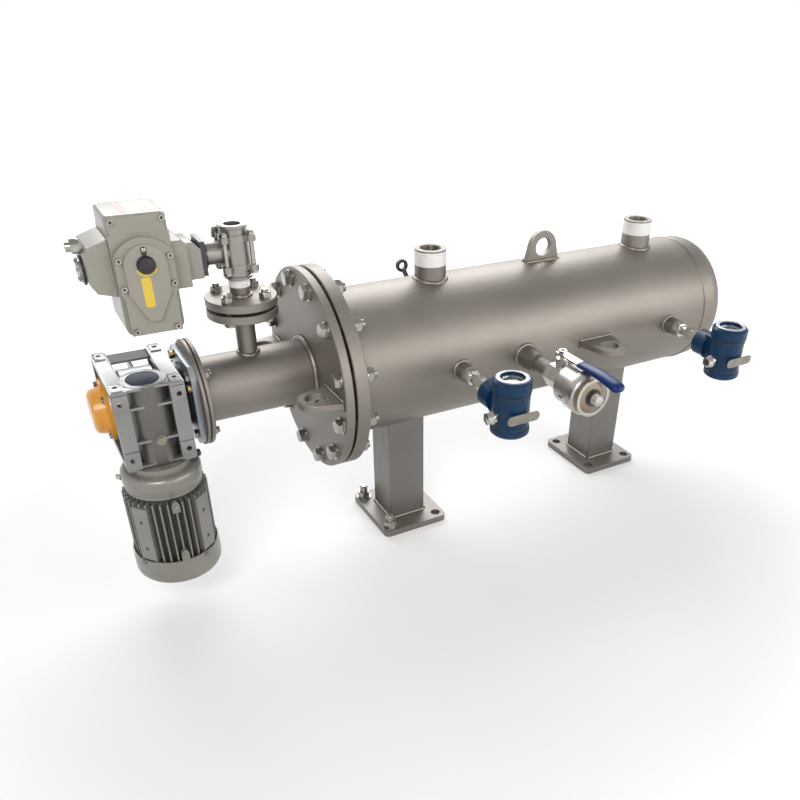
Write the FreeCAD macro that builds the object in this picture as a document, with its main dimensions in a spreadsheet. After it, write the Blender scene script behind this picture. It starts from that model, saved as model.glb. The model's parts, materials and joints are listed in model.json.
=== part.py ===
import FreeCAD, Part
import math
import os
import Sketcher

# Self cleaning filter: a horizontal pressure vessel on two feet, with a screen inside, a rotating
# suction scanner driven through the small flush tube by a worm gear motor, and a motorised ball
# valve on the flush tube's branch. Millimetres, +Z up, +X along the vessel away from the drive.
# The origin is on the floor, under the centre of the drive end foot.

doc = FreeCAD.newDocument("self_cleaning_filter")
Vector = FreeCAD.Vector

# Driving dimensions
SIZES = [
    ("axis_height", 375.0, "floor to the vessel's axis"),
    ("gasket_setback", 168.0, "from the drive end foot back to the middle of the main gasket"),
    ("shell_od", 273.0, "outside diameter of the vessel"),
    ("shell_wall", 6.0, "wall of the vessel"),
    ("seam_reach", 695.0, "from the drive end foot to the weld seam of the dished head"),
    ("foot_back", 160.0, "from the seam back to the far foot"),
    ("head_skirt", 25.0, "straight skirt of the dished head"),
    ("bolt_gap", 28.5, "from the vessel's outside out to the bolt circle of the main flanges"),
    ("flange_rim", 20.0, "from that bolt circle out to the flanges' edge"),
    ("main_bolt", 16.0, "thread of the main flange bolts"),
    ("main_hole", 18.0, "bolt holes of the main flanges"),
    ("body_flange_thick", 24.0, "thickness of the flange on the shell"),
    ("cover_thick", 16.0, "thickness of the cover flange"),
    ("gasket_thick", 5.0, "thickness of the main gasket"),
    ("tube_od", 114.3, "outside diameter of the flush tube"),
    ("tube_wall", 4.0, "wall of the flush tube"),
    ("drive_flange_od", 185.0, "outside diameter of the flange at the drive end of the flush tube"),
    ("drive_flange_thick", 7.0, "its thickness"),
    ("adapter_thick", 6.5, "thickness of the adapter plate between it and the reducer"),
    ("drive_gasket", 1.5, "thickness of the gasket between the two"),
    ("drive_bolt_circle", 150.0, "its bolt circle"),
    ("drive_bolt", 10.0, "thread of its bolts"),
    ("drive_hole", 11.0, "its bolt holes"),
    ("drive_setback", 399.0, "from the drive end foot back to the face of the drive flange"),
    ("nozzle_od", 60.3, "outside diameter of the inlet and outlet nozzles"),
    ("nozzle_bore", 40.0, "bore of the inlet and outlet nozzles"),
    ("nozzle_port", 44.0, "hole in the shell under a nozzle"),
    ("nozzle_rise", 192.0, "from the vessel's axis to the nozzles' end faces"),
    ("inlet_reach", 75.0, "from the drive end foot to the inlet nozzle"),
    ("outlet_back", 109.0, "from the seam back to the outlet nozzle"),
    ("wrap_tall", 26.0, "height of the wrap on the nozzle threads"),
    ("wrap_thick", 0.6, "thickness of the thread wraps"),
    ("lug_wide", 84.0, "width of the lifting lugs at their root"),
    ("lug_thick", 12.0, "thickness of the lifting lugs"),
    ("lug_out", 67.0, "height of the top lug and the cover lugs"),
    ("side_lug_out", 84.0, "height of the side lugs"),
    ("lug_eye", 36.0, "diameter of the lug's eye"),
    ("lug_rim", 14.0, "metal around the lug's eye"),
    ("top_lug_reach", 334.0, "from the drive end foot to the top lug"),
    ("side_lug_reach", 388.0, "from the drive end foot to the side lugs"),
    ("eye_reach", 90.0, "from the drive end foot to the small rear eye"),
    ("eye_rise", 188.0, "from the vessel's axis out to the middle of the small rear eye"),
    ("cover_lug_side", 133.0, "from the vessel's axis to the middle of a cover lug"),
    ("plate_long", 145.0, "foot plate along the vessel"),
    ("plate_wide", 168.0, "foot plate across the vessel"),
    ("plate_thick", 14.0, "foot plate thickness"),
    ("foot_hole_long", 110.0, "foot holes, spacing along the vessel"),
    ("foot_hole_wide", 130.0, "foot holes, spacing across the vessel"),
    ("foot_hole", 20.0, "foot hole diameter"),
    ("plate_corner", 12.0, "corner radius of the foot plates"),
    ("post_side", 80.0, "square tube of the posts"),
    ("post_wall", 5.0, "wall of the posts"),
    ("anchor_bolt", 16.0, "thread of the foot bolts"),
    ("branch_setback", 290.0, "from the drive end foot back to the flush branch"),
    ("branch_od", 33.7, "outside diameter of the flush branch"),
    ("branch_bore", 27.2, "bore of the flush branch"),
    ("branch_port", 30.0, "hole in the flush tube under the branch"),
    ("branch_flange_od", 120.0, "outside diameter of the branch flanges"),
    ("branch_bolt_circle", 90.0, "bolt circle of the branch flanges"),
    ("branch_bolt", 12.0, "thread of the branch bolts"),
    ("branch_hole", 14.0, "bolt holes of the branch flanges"),
    ("branch_flange_thick", 14.0, "thickness of each branch flange"),
    ("branch_gasket_thick", 5.0, "thickness of the branch gasket"),
    ("branch_flange_rise", 125.0, "from the vessel's axis up to the lower branch flange"),
    ("stem_rise", 232.0, "from the vessel's axis up to the drain valve's stem"),
    ("drain_body_od", 46.0, "drain valve body diameter"),
    ("drain_body_tall", 38.0, "drain valve body height between its end caps"),
    ("drain_cap_tall", 24.0, "height of each end cap"),
    ("drain_cap_plate", 9.0, "thickness of the end caps' ears"),
    ("drain_neck", 45.0, "diameter of the end caps' necks"),
    ("tie_circle", 62.0, "circle that the tie bolts stand on"),
    ("drain_bore", 25.0, "bore of the drain valve"),
    ("drain_ball", 37.0, "diameter of its ball"),
    ("tie_bolt", 8.0, "thread of the tie bolts"),
    ("drain_stem", 10.0, "diameter of the valve stem"),
    ("bonnet_od", 36.0, "outside diameter of the stem bonnet"),
    ("bonnet_reach", 50.0, "from the valve's axis to the end of the bonnet"),
    ("running_gap", 0.3, "clearance between curved faces that turn on each other"),
    ("shaft_gap", 0.05, "radial clearance of a shaft in its bearing"),
    ("act_near", 62.0, "from the valve's axis to the actuator's near face"),
    ("act_step", 84.0, "from the valve's axis to the step of the gear case"),
    ("act_body_near", 108.0, "from the valve's axis to the actuator's main housing"),
    ("act_body_long", 88.0, "main housing along the stem"),
    ("act_body_deep", 96.0, "main housing front to back"),
    ("act_body_up", 56.0, "main housing above the stem"),
    ("act_body_down", 98.0, "main housing below the stem"),
    ("act_lid_tall", 27.0, "height of the actuator's top cover"),
    ("act_lid_inset", 2.0, "how far the top cover stands inside the housing's edge"),
    ("act_cover_thick", 9.0, "thickness of the side cover"),
    ("act_ridge", 5.0, "height of the raised panel on the side cover"),
    ("act_end_long", 36.0, "length of the end cover"),
    ("act_end_deep", 84.0, "depth of the end cover"),
    ("act_wall", 5.0, "wall of the actuator's housings"),
    ("gear_centre", 63.0, "centre distance of the worm and its wheel"),
    ("gear_width", 112.0, "reducer housing along the output axis"),
    ("gear_half_tall", 72.0, "reducer housing, half its height"),
    ("gear_front", 102.0, "reducer housing, output axis to the worm side"),
    ("gear_back", 72.0, "reducer housing, output axis to the far side"),
    ("gear_flange_reach", 82.0, "reducer centre to the face of its output flange"),
    ("gear_flange_side", 142.0, "square output flange"),
    ("gear_flange_round", 180.0, "diameter that its corners are turned to"),
    ("gear_flange_thick", 10.0, "thickness of the output flange"),
    ("gear_bar", 24.0, "width of the foot bars"),
    ("gear_bar_thick", 13.0, "thickness of the foot bars"),
    ("gear_pad", 2.5, "height of the pads around the reducer's foot holes"),
    ("gear_rib", 4.0, "thickness of the ribs between the foot frames"),
    ("gear_hole_wide", 90.0, "foot holes, spacing across the output axis"),
    ("gear_hole_tall", 100.0, "foot holes, spacing along the worm"),
    ("gear_hole", 8.5, "foot holes of the reducer"),
    ("wheel_od", 100.0, "outside diameter of the worm wheel"),
    ("wheel_wide", 30.0, "width of the worm wheel"),
    ("output_bore", 25.0, "bore of the output hub"),
    ("hub_od", 40.0, "outside diameter of the output hub"),
    ("motor_od", 140.0, "outside diameter of the motor's fins"),
    ("motor_core", 118.0, "diameter of the motor's frame under the fins"),
    ("bell_top", 131.0, "diameter of the end bell at its rim"),
    ("bell_tall", 38.0, "height of the end bell"),
    ("motor_neck", 12.0, "height of the motor flange at the reducer"),
    ("frame_tall", 132.0, "height of the finned frame"),
    ("fan_cover_tall", 52.0, "height of the fan cover"),
    ("fan_cover_od", 148.0, "diameter of the fan cover"),
    ("sheet_wall", 2.0, "sheet metal of the fan cover"),
    ("fin_thick", 2.6, "thickness of a fin"),
    ("terminal_side", 90.0, "side of the motor's terminal box"),
    ("terminal_deep", 46.0, "depth of the terminal box"),
    ("shaft_od", 14.0, "motor shaft diameter"),
    ("fan_od", 112.0, "diameter of the cooling fan"),
    ("screen_od", 206.0, "outside diameter of the filter screen"),
    ("screen_wall", 3.0, "thickness of the screen with its support"),
    ("screen_start", 140.0, "from the drive end foot to the tube sheet"),
    ("screen_back", 35.0, "from the seam back to the end of the screen"),
    ("sheet_thick", 10.0, "thickness of the tube sheet and the end plate"),
    ("suction_od", 48.3, "outside diameter of the suction pipe"),
    ("suction_wall", 3.2, "wall of the suction pipe"),
    ("suction_nozzle_od", 21.3, "outside diameter of a suction nozzle"),
    ("suction_gap", 1.5, "gap between a suction nozzle and the screen"),
    ("drive_shaft", 24.9, "diameter of the drive shaft"),
    ("sensor_reach", 70.0, "from the drive end foot to the first transmitter"),
    ("sensor_back", 103.0, "from the seam back to the second transmitter"),
    ("sensor_out", 300.0, "from the vessel's axis out to a transmitter's housing"),
    ("sensor_od", 70.0, "diameter of a transmitter's housing"),
    ("sensor_tall", 104.0, "height of a transmitter's housing with its caps"),
    ("sensor_cap", 24.0, "height of a transmitter's display cap"),
    ("sensor_foot", 14.0, "height of a transmitter's lower cap"),
    ("boss_od", 34.0, "diameter of the transmitter bosses"),
    ("boss_long", 26.0, "length of the transmitter bosses"),
    ("sample_reach", 215.0, "from the drive end foot to the side valve"),
    ("sample_boss_od", 44.0, "diameter of the side valve's coupling"),
    ("sample_boss_long", 44.0, "length of the side valve's coupling"),
    ("sample_pipe", 33.0, "diameter of the side valve's nipple"),
    ("sample_pivot", 248.0, "from the vessel's axis out to the lever's pivot"),
    ("sample_ball", 26.0, "diameter of the side valve's ball"),
    ("sample_bore", 16.0, "bore of the side valve"),
    ("sample_body_long", 44.0, "length of the side valve's hexagon body"),
    ("sample_hex", 42.0, "across the flats of that body"),
    ("sample_barrel_od", 80.0, "diameter of the side valve's barrel"),
    ("sample_barrel_long", 66.0, "length of the side valve's barrel"),
    ("lever_rise", 46.0, "from the valve's axis up to the lever"),
    ("lever_long", 165.0, "length of the lever from its pivot"),
    ("grip_wide", 26.0, "width of the lever's grip"),
    ("grip_thick", 10.0, "thickness of the grip"),
]

sheet = doc.addObject("Spreadsheet::Sheet", "sizes")


class Dim:
    """A length with its value and the expression that ties it to the sheet."""

    def __init__(self, value, text=None):
        self.value = float(value)
        self.tied = text is not None
        self.text = text if self.tied else repr(float(value))

    def joined(self, other, sign, value):
        other = dim(other)
        result = Dim(value(self.value, other.value), "(%s %s %s)" % (self.text, sign, other.text))
        result.tied = self.tied or other.tied
        return result

    def __add__(self, other):
        return self.joined(other, "+", lambda a, b: a + b)

    def __radd__(self, other):
        return dim(other) + self

    def __sub__(self, other):
        return self.joined(other, "-", lambda a, b: a - b)

    def __rsub__(self, other):
        return dim(other) - self

    def __mul__(self, other):
        return self.joined(other, "*", lambda a, b: a * b)

    def __rmul__(self, other):
        return dim(other) * self

    def __truediv__(self, other):
        return self.joined(other, "/", lambda a, b: a / b)

    def __neg__(self):
        return dim(0) - self

    def root(self):
        result = Dim(math.sqrt(self.value), "sqrt(%s)" % self.text)
        result.tied = self.tied
        return result


def dim(value):
    return value if isinstance(value, Dim) else Dim(value)


class Sizes:
    """The driving dimensions by name."""


size = Sizes()
for row, (alias, value, meaning) in enumerate(SIZES, 1):
    sheet.set("A%d" % row, meaning)
    sheet.set("B%d" % row, str(value))
    sheet.setAlias("B%d" % row, alias)
    setattr(size, alias, Dim(value, "sizes." + alias))
doc.recompute()

# Directions that a piece's own Z axis is turned to
UP = FreeCAD.Rotation()
DOWN = FreeCAD.Rotation(Vector(1, 0, 0), 180)
ALONG = FreeCAD.Rotation(Vector(0, 1, 0), 90)
BACK = FreeCAD.Rotation(Vector(0, 1, 0), -90)
FRONT = FreeCAD.Rotation(Vector(1, 0, 0), 90)
REAR = FreeCAD.Rotation(Vector(1, 0, 0), -90)

nodes = {}


def bind(item, prop, length):
    """Give a property its value, and its expression where it hangs on the sheet."""
    length = dim(length)
    setattr(item, prop, length.value)
    if length.tied:
        item.setExpression(prop, length.text)


def place(item, at=(0, 0, 0), turn=UP):
    at = [dim(c) for c in at]
    item.Placement = FreeCAD.Placement(Vector(*[c.value for c in at]), turn)
    for axis, c in zip("xyz", at):
        if c.tied:
            item.setExpression("Placement.Base." + axis, c.text)
    return item


def node(label, item):
    item.Label = label
    nodes[label] = item
    return item


def rod(diameter, length, at=(0, 0, 0), turn=UP):
    item = doc.addObject("Part::Cylinder", "rod")
    bind(item, "Radius", dim(diameter) / 2)
    bind(item, "Height", length)
    return place(item, at, turn)


def rod_x(diameter, x_low, x_high, side=0, rise=None):
    """A rod along the vessel, by default on the vessel's axis."""
    rise = size.axis_height if rise is None else rise
    return rod(diameter, dim(x_high) - x_low, (x_low, side, rise), ALONG)


def cone(low, high, length, at, turn=UP):
    item = doc.addObject("Part::Cone", "cone")
    bind(item, "Radius1", dim(low) / 2)
    bind(item, "Radius2", dim(high) / 2)
    bind(item, "Height", length)
    return place(item, at, turn)


def ball(diameter, at):
    item = doc.addObject("Part::Sphere", "ball")
    bind(item, "Radius", dim(diameter) / 2)
    return place(item, at)


def slab(x_range, y_range, z_range):
    """A block between two values on each axis."""
    item = doc.addObject("Part::Box", "slab")
    for prop, (low, high) in zip(("Length", "Width", "Height"), (x_range, y_range, z_range)):
        bind(item, prop, dim(high) - low)
    return place(item, (x_range[0], y_range[0], z_range[0]))


def hexagon(across_flats, length, at=(0, 0, 0), turn=UP):
    item = doc.addObject("Part::Prism", "hexagon")
    item.Polygon = 6
    bind(item, "Circumradius", dim(across_flats) / math.sqrt(3))
    bind(item, "Height", length)
    return place(item, at, turn)


def fuse(*shapes):
    item = doc.addObject("Part::MultiFuse", "fuse")
    item.Shapes = list(shapes)
    item.Refine = True
    return item


def cut(base, *tools):
    item = doc.addObject("Part::Cut", "cut")
    item.Base = base
    item.Tool = tools[0] if len(tools) == 1 else fuse(*tools)
    item.Refine = True
    return item


def common(base, tool):
    item = doc.addObject("Part::Common", "common")
    item.Base = base
    item.Tool = tool
    return item


def plane_of(body, role):
    return next(item for item in body.Origin.OriginFeatures if item.Role == role)


def arc_centre(start, end, radius):
    """Centre of the short arc from start to end, on the left of the way for a positive radius."""
    middle = (start + end) * 0.5
    way = end - start
    reach = math.sqrt(max(radius * radius - way.Length ** 2 / 4, 0.0))
    side = 1 if radius > 0 else -1
    return middle + Vector(-way.y, way.x, 0).normalize() * reach * side


def outline(body, role, points, holes=()):
    """A closed sketch. A point is (x, y), or (x, y, radius) where an arc leads to the next one."""
    sketch = body.newObject("Sketcher::SketchObject", "outline")
    sketch.AttachmentSupport = (plane_of(body, role), [""])
    sketch.MapMode = "FlatFace"
    spots = [Vector(dim(p[0]).value, dim(p[1]).value, 0) for p in points]
    ends = []
    for number, point in enumerate(points):
        here = spots[number]
        there = spots[(number + 1) % len(points)]
        if len(point) == 2:
            sketch.addGeometry(Part.LineSegment(here, there), False)
            ends.append((1, 2))
            continue
        radius = dim(point[2])
        centre = arc_centre(here, there, radius.value)
        first, last = (here, there) if radius.value > 0 else (there, here)
        start = math.atan2(first.y - centre.y, first.x - centre.x)
        stop = math.atan2(last.y - centre.y, last.x - centre.x)
        circle = Part.Circle(centre, Vector(0, 0, 1), abs(radius.value))
        sketch.addGeometry(Part.ArcOfCircle(circle, start, stop), False)
        ends.append((1, 2) if radius.value > 0 else (2, 1))
    count = len(points)
    for number in range(count):
        after = (number + 1) % count
        sketch.addConstraint(
            Sketcher.Constraint("Coincident", number, ends[number][1], after, ends[after][0]))
    for number, point in enumerate(points):
        for kind, coordinate in (("DistanceX", point[0]), ("DistanceY", point[1])):
            tie(sketch, dim(coordinate), kind, -1, 1, number, ends[number][0])
        if len(point) == 3:
            radius = dim(point[2])
            tie(sketch, radius if radius.value > 0 else -radius, "Radius", number)
    for x, y, diameter in holes:
        add_circle(sketch, x, y, diameter)
    return sketch


def tie(sketch, length, *constraint):
    index = sketch.addConstraint(Sketcher.Constraint(*constraint, length.value))
    if length.tied:
        sketch.setExpression("Constraints[%d]" % index, length.text)


def add_circle(sketch, x, y, diameter):
    x, y, diameter = dim(x), dim(y), dim(diameter)
    circle = Part.Circle(Vector(x.value, y.value, 0), Vector(0, 0, 1), diameter.value / 2)
    number = sketch.addGeometry(circle, False)
    tie(sketch, x, "DistanceX", -1, 1, number, 3)
    tie(sketch, y, "DistanceY", -1, 1, number, 3)
    tie(sketch, diameter, "Diameter", number)


def turned(points, at=(0, 0, 0), turn=UP):
    """A piece turned about its own Z axis: its points are (radius, height)."""
    body = doc.addObject("PartDesign::Body", "turned")
    feature = body.newObject("PartDesign::Revolution", "revolution")
    feature.Profile = outline(body, "XZ_Plane", points)
    feature.ReferenceAxis = (feature.Profile[0], ["V_Axis"])
    feature.Angle = 360
    body.Tip = feature
    return place(body, at, turn)


def plate(points, thickness, at=(0, 0, 0), turn=UP, holes=()):
    """A plate whose outline lies across its own Z axis."""
    body = doc.addObject("PartDesign::Body", "plate")
    feature = body.newObject("PartDesign::Pad", "pad")
    feature.Profile = outline(body, "XY_Plane", points, holes)
    bind(feature, "Length", thickness)
    body.Tip = feature
    return place(body, at, turn)


def ring(inner, outer, thickness, at, turn=UP, edge=1.0):
    """A turned ring with small chamfers on its outer edges."""
    low, high, top = dim(inner) / 2, dim(outer) / 2, dim(thickness)
    return turned([(low, 0), (high - edge, 0), (high, edge), (high, top - edge),
                   (high - edge, top), (low, top)], at, turn)


def bolt_holes(body, circle, diameter, count, first_degrees):
    """Through holes on a bolt circle about the body's own Z axis."""
    sketch = body.newObject("Sketcher::SketchObject", "hole")
    sketch.AttachmentSupport = (plane_of(body, "XY_Plane"), [""])
    sketch.MapMode = "FlatFace"
    x, y = on_circle(circle, first_degrees)
    add_circle(sketch, x, y, diameter)
    doc.recompute()
    before = body.Shape.Volume
    pocket = body.newObject("PartDesign::Pocket", "pocket")
    pocket.Profile = sketch
    pocket.Type = "ThroughAll"
    pocket.Midplane = True
    pattern = body.newObject("PartDesign::PolarPattern", "pattern")
    pattern.Originals = [pocket]
    pattern.Axis = (plane_of(body, "Z_Axis"), [""])
    pattern.Angle = 360
    pattern.Occurrences = count
    body.Tip = pattern
    doc.recompute()
    if body.Shape.Volume >= before:
        raise RuntimeError("the bolt holes cut nothing")
    return body


def on_circle(circle, degrees):
    """Point on a circle, given its diameter."""
    angle = math.radians(degrees)
    return dim(circle) / 2 * math.cos(angle), dim(circle) / 2 * math.sin(angle)


def repeat(label, master, spots):
    """Identical solids as one group: each spot is (place, turn)."""
    doc.recompute()
    item = doc.addObject("Part::Feature", label)
    copies = []
    for at, turn in spots:
        copy = master.Shape.copy()
        copy.Placement = FreeCAD.Placement(Vector(*[dim(c).value for c in at]), turn)
        copies.append(copy)
    item.Shape = Part.makeCompound(copies)
    return node(label, item)


def hex_bolt(thread, length):
    """A hexagon bolt: its shank runs along +Z from the underside of its head."""
    thread = dim(thread)
    head = common(hexagon(thread * 1.5, thread * 0.63, (0, 0, -thread * 0.63)),
                  cone(thread * 1.42, thread * 2.6, thread * 0.64, (0, 0, -thread * 0.635)))
    return fuse(head, rod(thread, length))


def hex_nut(thread, height, bore_gap=0.2):
    thread = dim(thread)
    blank = common(hexagon(thread * 1.5, height),
                   cone(thread * 2.6, thread * 1.42, dim(height) + 0.1, (0, 0, 0)))
    return cut(blank, rod(thread + bore_gap, dim(height) + 2, (0, 0, -1)))


def round_screw(thread, head, head_tall, length):
    """A socket screw with a round head, its shank along +Z from the underside of its head."""
    body = rod(head, head_tall, (0, 0, -dim(head_tall)))
    socket = hexagon(dim(thread) * 0.8, dim(head_tall) * 0.5, (0, 0, -dim(head_tall)))
    return fuse(cut(body, socket), rod(thread, length))


AXIS = size.axis_height
gasket_x = -size.gasket_setback
flange_face = gasket_x + size.gasket_thick / 2
flange_back = flange_face + size.body_flange_thick
cover_back = gasket_x - size.gasket_thick / 2
cover_face = cover_back - size.cover_thick
drive_face = -size.drive_setback
drive_stack = size.adapter_thick + size.drive_gasket + size.drive_flange_thick
tube_start = drive_face + drive_stack
shell_id = size.shell_od - 2 * size.shell_wall
bolt_circle = size.shell_od + 2 * size.bolt_gap
flange_od = bolt_circle + 2 * size.flange_rim
foot_reach = size.seam_reach - size.foot_back
outlet_reach = size.seam_reach - size.outlet_back
far_sensor = size.seam_reach - size.sensor_back
screen_end = size.seam_reach - size.screen_back
valve_x = -size.branch_setback
TAP_RECESS = 5.0


# Vessel shell: a rolled tube, opened under each nozzle and boss
def make_shell():
    start = flange_face + TAP_RECESS
    outer = rod_x(size.shell_od, start, size.seam_reach)
    tools = [rod_x(shell_id, start - 1, size.seam_reach + 1)]
    for reach in (size.inlet_reach, outlet_reach):
        tools.append(rod(size.nozzle_port, size.nozzle_rise, (reach, 0, AXIS)))
    for reach in (size.sensor_reach, far_sensor):
        tools.append(rod(SENSOR_PORT, size.shell_od, (reach, 0, AXIS), FRONT))
    tools.append(rod(size.sample_bore, size.shell_od, (size.sample_reach, 0, AXIS), FRONT))
    node("shell", cut(outer, *tools))


SENSOR_PORT = 10.0


# Dished head: a straight skirt, a knuckle and a crown, in the usual shares of the diameter
def make_head():
    crown = size.shell_od * 0.8
    knuckle = size.shell_od * 0.154
    wall = size.shell_wall
    outer = size.shell_od / 2
    across = outer - knuckle
    centre = size.head_skirt - ((crown - knuckle) * (crown - knuckle) - across * across).root()
    share = across / (crown - knuckle)
    lift = (size.head_skirt - centre) / (crown - knuckle)
    points = [
        (outer - wall, 0),
        (outer, 0),
        (outer, size.head_skirt, knuckle),
        (crown * share, centre + crown * lift, crown),
        (0, centre + crown),
        (0, centre + crown - wall, -(crown - wall)),
        ((crown - wall) * share, centre + (crown - wall) * lift, -(knuckle - wall)),
        (outer - wall, size.head_skirt),
    ]
    node("dished_head", turned(points, (size.seam_reach, 0, AXIS), ALONG))


# Main flange joint
def make_main_flanges():
    body_flange = ring(size.shell_od, flange_od, size.body_flange_thick,
                       (flange_face, 0, AXIS), ALONG, 1.5)
    node("body_flange", bolt_holes(body_flange, bolt_circle, size.main_hole, 12, 15))
    cover = ring(size.tube_od, flange_od, size.cover_thick, (cover_face, 0, AXIS), ALONG, 1.5)
    node("cover_flange", bolt_holes(cover, bolt_circle, size.main_hole, 12, 15))
    node("main_gasket", ring(shell_id + 4, bolt_circle - size.main_hole - 2,
                             size.gasket_thick, (cover_back, 0, AXIS), ALONG, 0.5))
    washer = size.main_bolt * 0.19
    grip = size.cover_thick + size.gasket_thick + size.body_flange_thick + 2 * washer
    nut_tall = size.main_bolt * 0.81
    bolt = hex_bolt(size.main_bolt, grip + nut_tall + 6)
    nut = hex_nut(size.main_bolt, nut_tall)
    ring_plate = cut(rod(size.main_bolt * 1.9, washer),
                     rod(size.main_bolt * 1.06, washer + 2, (0, 0, -1)))
    bolts, nuts, washers = [], [], []
    for number in range(12):
        y, z = on_circle(bolt_circle, 15 + 30 * number)
        bolts.append(((cover_face - washer, y, AXIS + z), ALONG))
        washers.append(((cover_face - washer, y, AXIS + z), ALONG))
        washers.append(((flange_back, y, AXIS + z), ALONG))
        nuts.append(((flange_back + washer, y, AXIS + z), ALONG))
    repeat("flange_bolts", bolt, bolts)
    repeat("flange_nuts", nut, nuts)
    repeat("flange_washers", ring_plate, washers)


# Flush tube with its drive end flange
def make_flush_tube():
    outer = rod_x(size.tube_od, tube_start, cover_back)
    bore = rod_x(size.tube_od - 2 * size.tube_wall, tube_start - 1, cover_back + 1)
    window = rod(size.branch_port, size.tube_od, (valve_x, 0, AXIS))
    node("flush_tube", cut(outer, bore, window))
    for name, thick, x in (("adapter_plate", size.adapter_thick, drive_face),
                           ("drive_flange", size.drive_flange_thick,
                            tube_start - size.drive_flange_thick)):
        disc = ring(SEAL_BORE, size.drive_flange_od, thick, (x, 0, AXIS), ALONG)
        node(name, bolt_holes(disc, size.drive_bolt_circle, size.drive_hole, 4, 45))
    node("drive_gasket", ring(SEAL_BORE + 4, size.drive_bolt_circle - size.drive_hole - 4,
                              size.drive_gasket, (drive_face + size.adapter_thick, 0, AXIS),
                              ALONG, 0.2))
    carrier_long = 30.0
    seal_at = tube_start + 6
    carrier = turned([(size.drive_shaft / 2 + 1, 0), (39, 0), (39, 6), (30, 6), (30, carrier_long),
                      (21, carrier_long), (21, 12), (size.drive_shaft / 2 + 1, 12)],
                     (tube_start, 0, AXIS), ALONG)
    node("seal_carrier", carrier)
    node("shaft_seal", ring(size.drive_shaft + 2 * size.shaft_gap, 42, 12,
                            (seal_at + 6, 0, AXIS), ALONG, 0.5))


SEAL_BORE = 34.0


# Inlet and outlet nozzles with the wraps over their threads
def make_nozzles():
    for name, reach in (("inlet", size.inlet_reach), ("outlet", outlet_reach)):
        blank = rod(size.nozzle_od, size.nozzle_rise - size.shell_od / 4,
                    (reach, 0, AXIS + size.shell_od / 4))
        bore = rod(size.nozzle_bore, size.nozzle_rise, (reach, 0, AXIS + 1))
        root = rod(size.nozzle_port, size.shell_od / 2 + 1.5, (reach, 0, AXIS + 1))
        node(name + "_nozzle", cut(blank, bore, root, rod_x(size.shell_od, reach - 60, reach + 60)))
        top = AXIS + size.nozzle_rise - WRAP_DROP
        node(name + "_thread_wrap",
             ring(size.nozzle_od + 2 * size.shaft_gap, size.nozzle_od + 2 * size.wrap_thick, size.wrap_tall,
                  (reach, 0, top - size.wrap_tall), UP, 0.2))


WRAP_DROP = 3.0


def lug_outline(width, out, eye_radius_room):
    """A lug: straight flanks that close on a round nose about the eye."""
    nose = eye_radius_room
    half = dim(width) / 2
    centre = dim(out) - nose
    # The flank touches the nose where the line from the root is square to its radius.
    reach = (half * half + centre * centre).value
    lean = math.atan2(centre.value, half.value)
    spread = math.acos(nose.value / math.sqrt(reach))
    touch = spread - lean
    x = nose * math.cos(touch)
    y = centre + nose * math.sin(touch)
    return [(-half, 0), (half, 0), (x, y, nose), (0, out, nose), (-x, y)], centre


# Lifting lugs: one on top, one on each side, two on the cover
def make_lugs():
    nose = size.lug_eye / 2 + size.lug_rim
    points, centre = lug_outline(size.lug_wide, size.lug_out, nose)
    eye = [(0, centre, size.lug_eye)]
    sink = 8.0
    half = size.lug_thick / 2
    base = AXIS + size.shell_od / 2 - sink
    vessel = rod_x(size.shell_od, 0, size.seam_reach)
    top = plate(points, size.lug_thick, (size.top_lug_reach, half, base), FRONT, eye)
    node("top_lug", cut(top, vessel))
    points, centre = lug_outline(size.lug_wide, size.side_lug_out, nose)
    eye = [(0, centre, size.lug_eye)]
    for name, side in (("front", -1), ("rear", 1)):
        turn = FreeCAD.Rotation(Vector(0, 0, 1), 180 if side < 0 else 0)
        at = (size.side_lug_reach, side * (size.shell_od / 2 - sink), AXIS - half)
        node("side_lug_" + name, cut(plate(points, size.lug_thick, at, turn, eye), vessel))
    make_rear_eye()
    points, centre = lug_outline(size.lug_wide, size.lug_out, nose)
    eye = [(0, centre, size.lug_eye)]
    for name, side in (("front", -1), ("rear", 1)):
        at = (cover_face, side * size.cover_lug_side, AXIS - half)
        turn = FreeCAD.Rotation(Vector(0, 0, 1), 90)
        node("cover_lug_" + name, plate(points, size.lug_thick, at, turn, eye))


def make_rear_eye():
    """Small eye on a pin, on the upper rear of the vessel beside the inlet nozzle."""
    lean = math.radians(38)
    out = FreeCAD.Rotation(Vector(1, 0, 0), 38 - 90)
    reach = size.shell_od / 2
    root = reach - 4
    pin = rod(10, size.eye_rise - 10 - root, (size.eye_reach, root * math.cos(lean),
                                              AXIS + root * math.sin(lean)), out)
    y, z = size.eye_rise * math.cos(lean), size.eye_rise * math.sin(lean)
    body = rod(26, 8, (size.eye_reach, y + 4, AXIS + z), FRONT)
    hole = rod(13, 10, (size.eye_reach, y + 5, AXIS + z), FRONT)
    vessel = rod_x(size.shell_od, 0, size.seam_reach)
    node("rear_eye", cut(fuse(pin, body), hole, vessel))


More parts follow.
